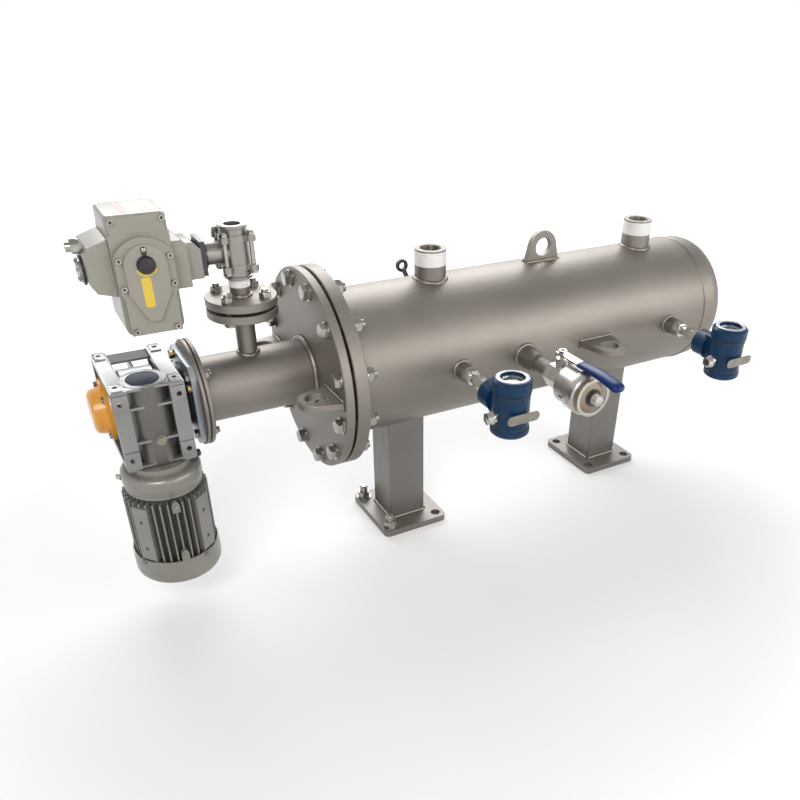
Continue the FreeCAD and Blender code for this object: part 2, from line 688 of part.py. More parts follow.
# Two feet: a drilled plate and a square post cut to the shell
def make_feet():
    for name, x in (("drive_end", dim(0)), ("far_end", foot_reach)):
        long, wide = size.plate_long / 2, size.plate_wide / 2
        holes = []
        for sx in (-1, 1):
            for sy in (-1, 1):
                holes.append((sx * size.foot_hole_long / 2, sy * size.foot_hole_wide / 2,
                              size.foot_hole))
        arc = size.plate_corner
        points = [(arc - long, -wide), (long - arc, -wide, arc), (long, arc - wide),
                  (long, wide - arc, arc), (long - arc, wide), (arc - long, wide, arc),
                  (-long, wide - arc), (-long, arc - wide, arc)]
        node("foot_plate_" + name, plate(points, size.plate_thick, (x, 0, 0), UP, holes))
        half = size.post_side / 2
        inner = half - size.post_wall
        outer = slab((x - half, x + half), (-half, half), (size.plate_thick, AXIS))
        hollow = slab((x - inner, x + inner), (-inner, inner), (size.plate_thick - 1, AXIS + 1))
        vessel = rod_x(size.shell_od, x - size.post_side, x + size.post_side)
        node("post_" + name, cut(outer, hollow, vessel))
    nut_tall = size.anchor_bolt * 0.85
    low = size.plate_thick + ANCHOR_WASHER
    bolt = fuse(hexagon(size.anchor_bolt * 1.5, nut_tall, (0, 0, -nut_tall)),
                rod(size.anchor_bolt, low + nut_tall + 10, (0, 0, -nut_tall - 11)),
                cone(size.anchor_bolt - 4, size.anchor_bolt, 2, (0, 0, -nut_tall - 13)))
    spots = []
    for sy in (-1, 1):
        spots.append(((-size.foot_hole_long / 2, sy * size.foot_hole_wide / 2,
                       size.plate_thick + ANCHOR_WASHER), DOWN))
    repeat("anchor_bolts", bolt, spots)
    washer = cut(rod(size.anchor_bolt * 2, ANCHOR_WASHER),
                 rod(size.anchor_bolt * 1.06, ANCHOR_WASHER + 2, (0, 0, -1)))
    repeat("anchor_washers", washer,
           [((at[0], at[1], size.plate_thick), UP) for at, turn in spots])


ANCHOR_WASHER = 2.5


# Flush branch with its flange pair
lower_flange_z = AXIS + size.branch_flange_rise
branch_gasket_z = lower_flange_z + size.branch_flange_thick
upper_flange_z = branch_gasket_z + size.branch_gasket_thick
upper_face_z = upper_flange_z + size.branch_flange_thick
stem_z = AXIS + size.stem_rise
drain_bottom = stem_z - size.drain_body_tall / 2 - size.drain_cap_tall


def make_branch():
    pipe = rod(size.branch_od, size.branch_flange_rise, (valve_x, 0, AXIS))
    bore = rod(size.branch_bore, size.branch_flange_rise + 2, (valve_x, 0, AXIS - 1))
    tube = rod_x(size.tube_od, valve_x - 40, valve_x + 40)
    node("branch_pipe", cut(pipe, bore, tube))
    for name, z in (("lower", lower_flange_z), ("upper", upper_flange_z)):
        flange = ring(size.branch_bore, size.branch_flange_od, size.branch_flange_thick,
                      (valve_x, 0, z), UP)
        node("branch_flange_" + name,
             bolt_holes(flange, size.branch_bolt_circle, size.branch_hole, 4, 45))
    node("branch_gasket", ring(size.branch_bore, size.branch_bolt_circle - size.branch_hole - 2,
                               size.branch_gasket_thick, (valve_x, 0, branch_gasket_z), UP, 0.4))
    node("valve_nipple", ring(size.branch_bore, size.branch_od, drain_bottom - upper_face_z,
                              (valve_x, 0, upper_face_z), UP, 0.3))
    node("nipple_wrap", ring(size.branch_od + 2 * size.shaft_gap, size.branch_od + 2 * size.wrap_thick, 14,
                             (valve_x, 0, drain_bottom - 15), UP, 0.2))
    nut_tall = size.branch_bolt * 0.85
    grip = 2 * size.branch_flange_thick + size.branch_gasket_thick
    bolt = hex_bolt(size.branch_bolt, grip + nut_tall + 5)
    nut = hex_nut(size.branch_bolt, nut_tall)
    bolts, nuts = [], []
    for number in range(4):
        x, y = on_circle(size.branch_bolt_circle, 45 + 90 * number)
        bolts.append(((valve_x + x, y, lower_flange_z), UP))
        nuts.append(((valve_x + x, y, upper_face_z), UP))
    repeat("branch_bolts", bolt, bolts)
    repeat("branch_nuts", nut, nuts)


# Three piece ball valve on the branch, its stem towards the drive end
def make_drain_valve():
    half = size.drain_body_tall / 2
    ties = [on_circle(size.tie_circle, 45 + 90 * number) for number in range(4)]
    for name, sign, turn in (("lower", -1, DOWN), ("upper", 1, UP)):
        start = (valve_x, 0, stem_z + sign * half)
        node("drain_cap_" + name, eared_cap(start, turn, ties, sign))
    body = rod(size.drain_body_od, size.drain_body_tall, (valve_x, 0, stem_z - half))
    bonnet = rod(size.bonnet_od, size.bonnet_reach, (valve_x, 0, stem_z), BACK)
    cavity = ball(size.drain_ball + 2 * size.running_gap, (valve_x, 0, stem_z))
    bore = rod(SEAT_OD, size.drain_body_tall + 2, (valve_x, 0, stem_z - half - 1))
    stem_hole = rod(size.drain_stem + 2 * size.shaft_gap, size.bonnet_reach + 2,
                    (valve_x, 0, stem_z), BACK)
    node("drain_body", cut(fuse(body, bonnet), cavity, bore, stem_hole))
    seats = []
    for sign in (-1, 1):
        seat = rod(SEAT_OD, SEAT_TALL, (valve_x, 0, stem_z + sign * (half - SEAT_TALL / 2)
                                        - SEAT_TALL / 2))
        seats.append(cut(seat, rod(size.drain_bore, SEAT_TALL + 2, (valve_x, 0, seat_low(sign, half))),
                         ball(size.drain_ball + 2 * size.running_gap, (valve_x, 0, stem_z))))
    node("drain_seats", group(*seats))
    turned_ball = cut(ball(size.drain_ball, (valve_x, 0, stem_z)),
                      rod(size.drain_bore, size.drain_ball + 2,
                          (valve_x, 0, stem_z - size.drain_ball / 2 - 1)),
                      slab((valve_x - size.drain_ball, valve_x - size.drain_ball / 2 + 2),
                           (-20, 20), (stem_z - 20, stem_z + 20)))
    node("drain_ball", turned_ball)
    stem_start = valve_x - size.drain_ball / 2 + 2
    end_x = valve_x - size.act_body_near - size.act_body_long - size.act_end_long
    stem = rod(size.drain_stem, stem_start - end_x + 2, (stem_start, 0, stem_z), BACK)
    node("drain_stem", stem)
    node("position_pointer", fuse(rod(24, 3, (end_x - 2, 0, stem_z), BACK),
                                  slab((end_x - 7, end_x - 5), (-3, 3),
                                       (stem_z - 11, stem_z + 11))))
    bolt = hex_bolt(size.tie_bolt, size.drain_body_tall + 2 * size.drain_cap_plate + 8)
    nut = hex_nut(size.tie_bolt, size.tie_bolt * 0.8)
    bolts, nuts = [], []
    for x, y in ties:
        bolts.append(((valve_x + x, y, stem_z - half - size.drain_cap_plate), UP))
        nuts.append(((valve_x + x, y, stem_z + half + size.drain_cap_plate), UP))
    repeat("drain_tie_bolts", bolt, bolts)
    repeat("drain_tie_nuts", nut, nuts)


def eared_cap(start, turn, ties, sign):
    """End cap of the drain valve: a round neck on a disc with four ears for the tie bolts."""
    neck = turned([(0, 0), (size.drain_neck / 2, 0),
                   (size.drain_neck / 2, size.drain_cap_tall - 5),
                   (size.drain_neck / 2 + 1.5, size.drain_cap_tall - 4),
                   (size.drain_neck / 2 + 1.5, size.drain_cap_tall - 1),
                   (size.drain_neck / 2 + 0.5, size.drain_cap_tall),
                   (0, size.drain_cap_tall)], start, turn)
    low = start[2] if sign > 0 else start[2] - size.drain_cap_plate
    pieces = [neck, rod(size.drain_body_od + 4, size.drain_cap_plate, start, turn)]
    holes = [rod(size.branch_bore, size.drain_cap_tall + 2,
                 (valve_x, 0, start[2] - sign), turn)]
    for x, y in ties:
        pieces.append(rod(size.tie_bolt * 2, size.drain_cap_plate, (valve_x + x, y, low)))
        holes.append(rod(size.tie_bolt + 0.6, size.drain_cap_plate + 2,
                         (valve_x + x, y, low - 1)))
    for degrees in (45, 135):
        arm = doc.addObject("Part::Box", "arm")
        bind(arm, "Length", size.tie_circle)
        bind(arm, "Width", size.tie_bolt * 1.7)
        bind(arm, "Height", size.drain_cap_plate)
        angle = math.radians(degrees)
        back, side = size.tie_circle / 2, size.tie_bolt * 0.85
        corner = (valve_x - back * math.cos(angle) + side * math.sin(angle),
                  -(back * math.sin(angle)) - side * math.cos(angle), low)
        pieces.append(place(arm, corner, FreeCAD.Rotation(Vector(0, 0, 1), degrees)))
    return cut(fuse(*pieces), *holes)


SEAT_OD = 34.0
SEAT_TALL = 8.0


def seat_low(sign, half):
    return stem_z + sign * (half - SEAT_TALL / 2) - SEAT_TALL / 2 - 1


def group(*shapes):
    item = doc.addObject("Part::Compound", "group")
    item.Links = list(shapes)
    return item


# Quarter turn actuator, its output in line with the valve stem
act_low = valve_x - size.act_body_near - size.act_body_long
act_high = valve_x - size.act_body_near
act_mid = (act_low + act_high) / 2
act_front = -size.act_body_deep / 2


def make_actuator():
    deep = size.act_body_deep / 2
    mount = fuse(slab((valve_x - size.act_near, valve_x - size.bonnet_reach - 4), (-27, 27),
                      (stem_z - 27, stem_z + 27)),
                 rod(size.bonnet_od + 10, 4, (valve_x - size.bonnet_reach, 0, stem_z), BACK))
    node("mounting_plate", cut(mount, rod(size.drain_stem + 4, 40, (valve_x - 40, 0, stem_z), BACK)))
    low_x, mid_x, high_x = -size.act_body_near, -size.act_step, -size.act_near
    near = plate([(mid_x, -29), (high_x, -29), (high_x, 17), (high_x - 12, 29), (mid_x, 29)],
                 62, (valve_x, 31, stem_z), FRONT)
    step = plate([(low_x, -37), (mid_x, -37), (mid_x, 29), (mid_x - 8, 37), (low_x, 37)],
                 80, (valve_x, 40, stem_z), FRONT)
    node("actuator_gear_case", cut(fuse(near, step), stem_room()))
    soft = 14.0
    low, high = -size.act_body_down, size.act_body_up
    half = size.act_body_long / 2
    points = [(-half + soft, low), (half - soft, low, soft), (half, low + soft), (half, high),
              (-half, high), (-half, low + soft, soft)]
    block = plate(points, size.act_body_deep, (act_mid, deep, stem_z), FRONT)
    node("actuator_housing", cut(block, stem_room()))
    inset = size.act_lid_inset
    lid_low = stem_z + high
    lid = fuse(slab((act_low + inset, act_high - inset), (-deep + inset, deep - inset),
                    (lid_low, lid_low + size.act_lid_tall)),
               slab((act_low, act_high), (-deep, deep), (lid_low, lid_low + 5)))
    lid_spots = [((act_mid + side * 36, act_front + inset, stem_z + high + 19), REAR)
                 for side in (-1, 1)]
    node("actuator_top_cover", cut(lid, *screw_holes(lid_spots)))
    screw = round_screw(SCREW, 9, 5, 8)
    repeat("lid_screws", screw, lid_spots)
    make_side_cover(half)
    out = -size.act_end_long
    end = plate([(out, -14), (out + 8, -28), (0, -36), (0, 50), (out + 6, 40), (out, 32)],
                size.act_end_deep, (act_low, size.act_end_deep / 2, stem_z), FRONT)
    node("actuator_end_cover", cut(end, stem_room()))
    end_x = act_low - size.act_end_long
    dome = turned([(0, 9), (13, 9), (13, 0), (19, 0), (19, 6), (15, 11), (0, 12)],
                  (end_x, 0, stem_z), BACK)
    node("position_window", dome)
    gland = fuse(rod(22, 4, (end_x, -20, stem_z + 40), BACK),
                 hexagon(19, 9, (end_x - 4, -20, stem_z + 40), BACK),
                 rod(15, 7, (end_x - 13, -20, stem_z + 40), BACK))
    node("cable_gland", cut(gland, rod(7, 22, (end_x + 1, -20, stem_z + 40), BACK)))


def stem_room():
    """The hole that the valve stem turns in, right through the actuator."""
    return rod(size.drain_stem + 2 * size.shaft_gap, 400, (valve_x, 0, stem_z), BACK)


def make_side_cover(half):
    """Shield shaped cover: an arch above, a narrower foot below, and a raised panel on it."""
    front = act_front
    edge = half - 1
    foot = half - 6
    arch = [(-foot, -size.act_body_down + 3), (foot, -size.act_body_down + 3), (foot, -36),
            (edge, -26), (edge, 26, 52), (0, 52, 52), (-edge, 26), (-edge, -26), (-foot, -36)]
    cover = plate(arch, size.act_cover_thick, (act_mid, front, stem_z), FRONT)
    panel = [(-8, -74), (8, -74), (31, -30), (31, 20, 38), (0, 43, 38), (-31, 20), (-31, -30)]
    raised = plate(panel, size.act_ridge, (act_mid, front - size.act_cover_thick, stem_z), FRONT)
    spots = [((act_mid + side * x, front - size.act_cover_thick, stem_z + z), REAR)
             for side in (-1, 1) for x, z in ((37, 22), (37, -20), (31, -88))]
    node("actuator_side_cover", cut(fuse(cover, raised), *screw_holes(spots)))
    face = front - size.act_cover_thick - size.act_ridge
    node("override_cap", turned([(0, 0), (13, 0), (13, 3), (11, 7), (0, 8)],
                                (act_mid, face, stem_z + 13), FRONT))
    repeat("actuator_screws", round_screw(SCREW, 9, 5, 8), spots)


def screw_holes(spots):
    """Holes that the screws at these spots go into, a little wider and deeper than they are."""
    return [rod(SCREW + 0.4, 10, (at[0], at[1] - 1, at[2]), turn) for at, turn in spots]


SCREW = 5.0


# Worm gear reducer: square foot frame on both sides, output hub along the vessel, worm upright
gear_x = drive_face - size.gear_flange_reach
worm_y = -size.gear_centre


def make_reducer():
    half = size.gear_width / 2
    top, bottom = AXIS + size.gear_half_tall, AXIS - size.gear_half_tall
    front, back = -size.gear_front, size.gear_back
    bar, thick, pad = size.gear_bar, size.gear_bar_thick, size.gear_pad
    pieces = []
    for low, high in ((gear_x - half, gear_x - half + bar), (gear_x + half - bar, gear_x + half)):
        outer = slab((low, high), (front + pad, back - pad), (bottom + pad, top - pad))
        for z in (AXIS - size.gear_hole_tall / 2, AXIS + size.gear_hole_tall / 2):
            for y in ((front, front + pad + 2), (back - pad - 2, back)):
                pieces.append(slab((low + 0.6, high - 0.6), y, (z - 14, z + 14)))
        inner = slab((low - 1, high + 1), (front + thick, back - thick),
                     (bottom + thick, top - thick))
        pieces.append(cut(outer, inner))
    for mid in (gear_x - size.gear_hole_wide / 2, gear_x + size.gear_hole_wide / 2):
        for y in (front + 19, back - 19):
            for z in ((bottom, bottom + pad + 2), (top - pad - 2, top)):
                pieces.append(slab((mid - size.gear_hole, mid + size.gear_hole),
                                   (y - 15, y + 15), z))
    pieces.append(rod_x(104, gear_x - half + 3, gear_x + half - 3))
    pieces.append(rod_x(size.wheel_od + 20, gear_x - 26, gear_x + 26))
    pieces.append(rod(72, 2 * size.gear_half_tall - 4, (gear_x, worm_y, bottom + 2)))
    rib = size.gear_rib
    across = (gear_x - half + 2, gear_x + half - 2)
    for z in (AXIS + 34, AXIS - 24 - rib / 2, top - pad - rib, bottom + pad):
        pieces.append(slab(across, (front + pad + 2, front + thick + 4), (z, z + rib)))
    pieces.append(slab(across, (back - 40, back - pad - 2), (top - pad - rib - 4, top - pad - 4)))
    pieces.append(slab(across, (back - 40, back - pad - 2), (bottom + pad + 4, bottom + pad + rib + 4)))
    pieces.append(slab((gear_x - 38, gear_x + 38), (worm_y, back - 8),
                       (AXIS - rib / 2, AXIS + rib / 2)))
    pieces.append(slab((gear_x - rib / 2, gear_x + rib / 2), (worm_y, back - 8),
                       (bottom + 14, top - 14)))
    frame = fuse(*pieces)
    tools = [rod_x(size.hub_od + 2 * size.shaft_gap, gear_x - half - 2, gear_x + half + 2),
             rod_x(size.wheel_od + 6, gear_x - size.wheel_wide / 2 - 2,
                   gear_x + size.wheel_wide / 2 + 2),
             rod(WORM_ROOM, 2 * size.gear_half_tall + 2, (gear_x, worm_y, bottom - 1)),
             rod(51, 7, (gear_x, worm_y, top - 6))]
    for sx in (-1, 1):
        x = gear_x + sx * size.gear_hole_wide / 2
        for sz in (-1, 1):
            z = AXIS + sz * size.gear_hole_tall / 2
            tools.append(rod(size.gear_hole, thick + 2, (x, front - 1, z), REAR))
            tools.append(rod(size.gear_hole, thick + 2, (x, back + 1, z), FRONT))
        for y in (front + 19, back - 19):
            tools.append(rod(size.gear_hole, thick + 2, (x, y, top - thick - 1)))
            tools.append(rod(size.gear_hole, thick + 2, (x, y, bottom - 1)))
    node("reducer_housing", cut(frame, *tools))
    node("worm_end_cap", turned([(0, 0), (25.3, 0), (25.3, 5), (24, 6), (0, 6)],
                                (gear_x, worm_y, top - 6)))
    make_output_flange(half)
    cover_x = gear_x - half + 3
    cover = turned([(0, 0), (52, 0), (52, 7), (40, 7), (36, 24), (30, 28), (0, 28)],
                   (cover_x, 0, AXIS), BACK)
    hollow = rod(size.hub_od + 8, 12, (cover_x + 1, 0, AXIS), BACK)
    node("output_cover", cut(cover, hollow))
    heads = []
    for number in range(4):
        y, z = on_circle(92, 45 + 90 * number)
        heads.append(((cover_x - 7, y, AXIS + z), BACK))
    repeat("output_cover_screws", fuse(hexagon(10, 4), cone(9, 8, 1, (0, 0, 4))), heads)
    node("oil_plug", fuse(rod(18, 3, (gear_x + 4, worm_y - 36, AXIS - 24), FRONT),
                          hexagon(13, 7, (gear_x + 4, worm_y - 37, AXIS - 24), FRONT)))
    hub = rod_x(size.hub_od, gear_x - half - 4, gear_x + half + 4)
    rim = rod_x(size.wheel_od, gear_x - size.wheel_wide / 2, gear_x + size.wheel_wide / 2)
    hole = rod_x(size.output_bore, gear_x - half - 6, gear_x + half + 6)
    node("worm_wheel", cut(fuse(hub, rim), hole))
    make_worm(top, bottom)


def make_worm(top, bottom):
    """Worm on a hollow shaft that the motor shaft plugs into, with a bearing at each end."""
    thread = 2 * (size.gear_centre - size.wheel_od / 2 - size.running_gap)
    tall = 64.0
    low, high = bottom + 4, top - 8
    shaft = fuse(rod(WORM_JOURNAL, high - low, (gear_x, worm_y, low)),
                 rod(thread, tall, (gear_x, worm_y, AXIS - tall / 2)))
    node("worm", cut(shaft, rod(size.shaft_od, SHAFT_PLUG + 1, (gear_x, worm_y, low - 1))))
    rings = []
    for z in (low, high - 12):
        rings.append(cut(rod(WORM_ROOM, 12, (gear_x, worm_y, z)),
                         rod(WORM_JOURNAL + 2 * size.shaft_gap, 14, (gear_x, worm_y, z - 1))))
    node("worm_bearings", group(*rings))


WORM_ROOM = 36.0
WORM_JOURNAL = 20.0
SHAFT_PLUG = 50.0


def make_output_flange(half):
    """Square flange with turned corners on a neck that stands on the reducer."""
    side = size.gear_flange_side / 2
    limit = size.gear_flange_round / 2
    nick = (limit * limit - side * side).root()
    points = [(-nick, -side), (nick, -side, limit), (side, -nick), (side, nick, limit),
              (nick, side), (-nick, side, limit), (-side, nick), (-side, -nick, limit)]
    start = drive_face - size.gear_flange_thick
    flange = plate(points, size.gear_flange_thick, (start, 0, AXIS), ALONG)
    neck_low = gear_x + half
    neck = fuse(rod_x(120, neck_low, neck_low + 8),
                cone(100, 112, drive_face - size.gear_flange_thick - neck_low,
                     (neck_low, 0, AXIS), ALONG))
    bore = rod_x(size.hub_od + 10, neck_low - 1, drive_face + 1)
    holes = []
    for number in range(4):
        y, z = on_circle(size.drive_bolt_circle, 45 + 90 * number)
        holes.append(rod_x(size.drive_hole, start - 30, drive_face + 1, y, AXIS + z))
    node("output_flange", cut(fuse(flange, neck), bore, *holes))
    grip = size.gear_flange_thick + drive_stack
    nut_tall = size.drive_bolt * 0.8
    bolt = hex_bolt(size.drive_bolt, grip + nut_tall + 4)
    nut = hex_nut(size.drive_bolt, nut_tall)
    bolts, nuts = [], []
    for number in range(4):
        y, z = on_circle(size.drive_bolt_circle, 45 + 90 * number)
        bolts.append(((start, y, AXIS + z), ALONG))
        nuts.append(((tube_start, y, AXIS + z), ALONG))
    repeat("drive_bolts", bolt, bolts)
    repeat("drive_nuts", nut, nuts)


# Motor that hangs under the reducer
motor_top = AXIS - size.gear_half_tall
bell_low = motor_top - size.motor_neck - size.bell_tall
frame_low = bell_low - size.frame_tall
FAN_COVER_LAP = 10.0
cover_top = frame_low + FAN_COVER_LAP
cover_low = cover_top - size.fan_cover_tall


def make_motor():
    rim = size.bell_top / 2
    wide = size.motor_core / 2 + 4
    neck = 52.0
    shaft_room = size.shaft_od / 2 + size.running_gap
    bell = turned([(shaft_room, 0), (wide, 0), (wide, 4), (rim, 16),
                   (rim, size.bell_tall - 9, 9), (rim - 9, size.bell_tall),
                   (neck, size.bell_tall), (neck, size.bell_tall + size.motor_neck),
                   (shaft_room, size.bell_tall + size.motor_neck)],
                  (gear_x, worm_y, bell_low))
    node("motor_end_bell", bell)
    make_motor_frame()
    make_fan_cover()
    shaft_low = cover_low + 16
    node("motor_shaft", rod(size.shaft_od, motor_top + 4 + SHAFT_PLUG - shaft_low,
                            (gear_x, worm_y, shaft_low)))
    blade = 2.5
    hub = cut(rod(30, 16, (gear_x, worm_y, shaft_low + 4)),
              rod(size.shaft_od, 18, (gear_x, worm_y, shaft_low + 3)))
    disc = cut(rod(size.fan_od - 20, 2.5, (gear_x, worm_y, shaft_low + 17.5)),
               rod(size.shaft_od, 8, (gear_x, worm_y, shaft_low + 16)))
    blades = []
    for number in range(8):
        item = doc.addObject("Part::Box", "blade")
        bind(item, "Length", size.fan_od / 2 - 12)
        item.Width = blade
        item.Height = 15
        turn = FreeCAD.Rotation(Vector(0, 0, 1), 45 * number)
        offset = turn.multVec(Vector(12, -blade / 2, 0))
        blades.append(place(item, (gear_x + offset.x, worm_y + offset.y, shaft_low + 4), turn))
    node("cooling_fan", fuse(hub, disc, *blades))


def make_motor_frame():
    """Cast frame: a core, fins all round and four flat foot pads."""
    body = doc.addObject("PartDesign::Body", "motor_frame_body")
    core = body.newObject("PartDesign::Pad", "core")
    core_sketch = body.newObject("Sketcher::SketchObject", "core_outline")
    core_sketch.AttachmentSupport = (plane_of(body, "XY_Plane"), [""])
    core_sketch.MapMode = "FlatFace"
    add_circle(core_sketch, 0, 0, size.motor_core)
    core.Profile = core_sketch
    bind(core, "Length", size.frame_tall)
    doc.recompute()
    fin = body.newObject("PartDesign::Pad", "fin")
    half = size.fin_thick / 2
    root = size.motor_core / 2 - 1
    tip = size.motor_od / 2
    fin.Profile = outline(body, "XY_Plane", [(root, -half), (tip, -half), (tip, half), (root, half)])
    bind(fin, "Length", size.frame_tall - 6)
    doc.recompute()
    pattern = body.newObject("PartDesign::PolarPattern", "fins")
    pattern.Originals = [fin]
    pattern.Axis = (plane_of(body, "Z_Axis"), [""])
    pattern.Angle = 360
    pattern.Occurrences = FIN_COUNT
    body.Tip = pattern
    place(body, (gear_x, worm_y, frame_low))
    pads = []
    for degrees in (-140, -50):
        turn = FreeCAD.Rotation(Vector(0, 0, 1), degrees)
        item = doc.addObject("Part::Box", "pad")
        bind(item, "Length", size.motor_od / 2 + 2 - 45)
        item.Width = 30
        bind(item, "Height", size.frame_tall - 26)
        offset = turn.multVec(Vector(45, -15, 0))
        place(item, (gear_x + offset.x, worm_y + offset.y, frame_low + 13), turn)
        drills = []
        for rise in (36, 90):
            start = turn.multVec(Vector(40, 0, 0))
            drill = rod(6.6, 60, (gear_x + start.x, worm_y + start.y, frame_low + rise),
                        turn.multiply(ALONG))
            drills.append(common_tail(drill))
        pads.append(cut(item, *drills))
    cavity = rod(92, size.frame_tall - 16, (gear_x, worm_y, frame_low + 8))
    shaft_room = rod(size.shaft_od + 2 * size.running_gap, size.frame_tall + 2,
                     (gear_x, worm_y, frame_low - 1))
    node("motor_frame", cut(fuse(body, *pads), cavity, shaft_room))
    box_y = worm_y + size.motor_core / 2 - 2
    mid = frame_low + size.frame_tall * 0.62
    half = size.terminal_side / 2
    neck = half * 0.75
    deep = size.terminal_deep
    box = fuse(slab((gear_x - neck, gear_x + neck), (box_y, box_y + deep / 2), (mid - neck, mid + neck)),
               slab((gear_x - half, gear_x + half), (box_y + deep / 4, box_y + deep),
                    (mid - half, mid + half)))
    node("terminal_box", cut(box, rod(size.motor_od + 0.4, size.frame_tall,
                                      (gear_x, worm_y, frame_low))))


FIN_COUNT = 36


def common_tail(drill):
    return drill


def make_fan_cover():
    """Sheet metal cowl, open towards the motor, with a ring grille in its floor."""
    outer = size.fan_cover_od / 2
    wall = size.sheet_wall
    soft = 16.0
    tall = size.fan_cover_tall
    cowl = turned([(0, 0), (outer - soft, 0, soft), (outer, soft), (outer, tall),
                   (outer - wall, tall), (outer - wall, soft, -(soft - wall)),
                   (outer - soft, wall), (0, wall)],
                  (gear_x, worm_y, cover_low))
    slots = []
    for number, radius in enumerate((20, 28, 36, 44, 52)):
        slots.append(cut(rod(2 * radius + 4, wall + 2, (gear_x, worm_y, cover_low - 1)),
                         rod(2 * radius - 4, wall + 4, (gear_x, worm_y, cover_low - 2))))
    spokes = fuse(slab((gear_x - 60, gear_x + 60), (worm_y - 2, worm_y + 2),
                       (cover_low - 3, cover_low + wall + 3)),
                  slab((gear_x - 2, gear_x + 2), (worm_y - 60, worm_y + 60),
                       (cover_low - 3, cover_low + wall + 3)))
    grille = cut(fuse(*slots), spokes)
    node("fan_cover", cut(cowl, grille))
    screw = round_screw(4, 8, 3, 4)
    spots = []
    for degrees in (-150, -60, 30, 120):
        angle = math.radians(degrees)
        x = gear_x + outer * math.cos(angle)
        y = worm_y + outer * math.sin(angle)
        inward = FreeCAD.Rotation(Vector(0, 0, 1), Vector(-math.cos(angle), -math.sin(angle), 0))
        spots.append(((x, y, cover_top - 6), inward))
    repeat("fan_cover_screws", screw, spots)


# Parts inside the vessel
def make_inside():
    start = size.screen_start
    end = screen_end
    screen_id = size.screen_od - 2 * size.screen_wall
    tube_sheet = ring(screen_id, shell_id, size.sheet_thick, (start - size.sheet_thick, 0, AXIS), ALONG)
    node("tube_sheet", tube_sheet)
    screen = cut(rod_x(size.screen_od, start, end), rod_x(screen_id, start - 1, end + 1))
    node("filter_screen", screen)
    bearing_bore = BEARING_OD + 0.0
    end_plate = ring(bearing_bore, shell_id, size.sheet_thick, (end, 0, AXIS), ALONG)
    node("screen_end_plate", end_plate)
    pin = 20.0
    node("scanner_bush", ring(pin + 2 * size.shaft_gap, BEARING_OD, size.sheet_thick + 8,
                              (end, 0, AXIS), ALONG, 0.5))
    chamber_x = cover_face - 14
    tube_id = size.tube_od - 2 * size.tube_wall
    node("chamber_bush", ring(size.suction_od + 2 * size.shaft_gap, tube_id, 14,
                              (chamber_x, 0, AXIS), ALONG, 0.5))
    make_scanner(start, end, screen_id, pin)


BEARING_OD = 40.0


def make_scanner(start, end, screen_id, pin):
    """Suction pipe with its nozzles, windows in the flush chamber and a pin at its far end."""
    pipe_low = valve_x - 30
    pipe_high = end - 8
    outer = rod_x(size.suction_od, pipe_low, pipe_high)
    tip = rod_x(pin, pipe_high, end + size.sheet_thick + 4)
    hollow = rod_x(size.suction_od - 2 * size.suction_wall, pipe_low + 12, pipe_high - 6)
    window = rod(30, size.suction_od + 4, (valve_x, 0, AXIS - size.suction_od / 2 - 2))
    cross_window = rod(30, size.suction_od + 4, (valve_x, size.suction_od / 2 + 2, AXIS), FRONT)
    socket = rod_x(size.drive_shaft, pipe_low - 1, pipe_low + 10)
    reach = screen_id / 2 - size.suction_gap
    pipes, bores = [], []
    for number in range(NOZZLE_COUNT):
        x = start + (end - start) * (number + 0.5) / NOZZLE_COUNT
        turn = UP if number % 2 == 0 else DOWN
        sign = 1 if number % 2 == 0 else -1
        pipes.append(rod(size.suction_nozzle_od, reach, (x, 0, AXIS), turn))
        flare = cone(size.suction_nozzle_od, size.suction_nozzle_od + 14, 14,
                     (x, 0, AXIS + sign * (reach - 10)), turn)
        pipes.append(flare)
        bores.append(rod(size.suction_nozzle_od - 5, reach + 8, (x, 0, AXIS), turn))
    body = cut(fuse(outer, tip, *pipes), hollow, window, cross_window, socket, *bores)
    trimmed = common(body, rod_x(2 * reach, pipe_low - 5, end + 40))
    node("suction_scanner", trimmed)
    node("drive_shaft", rod_x(size.drive_shaft, gear_x - size.gear_width / 2 - 2, pipe_low + 10))


NOZZLE_COUNT = 6


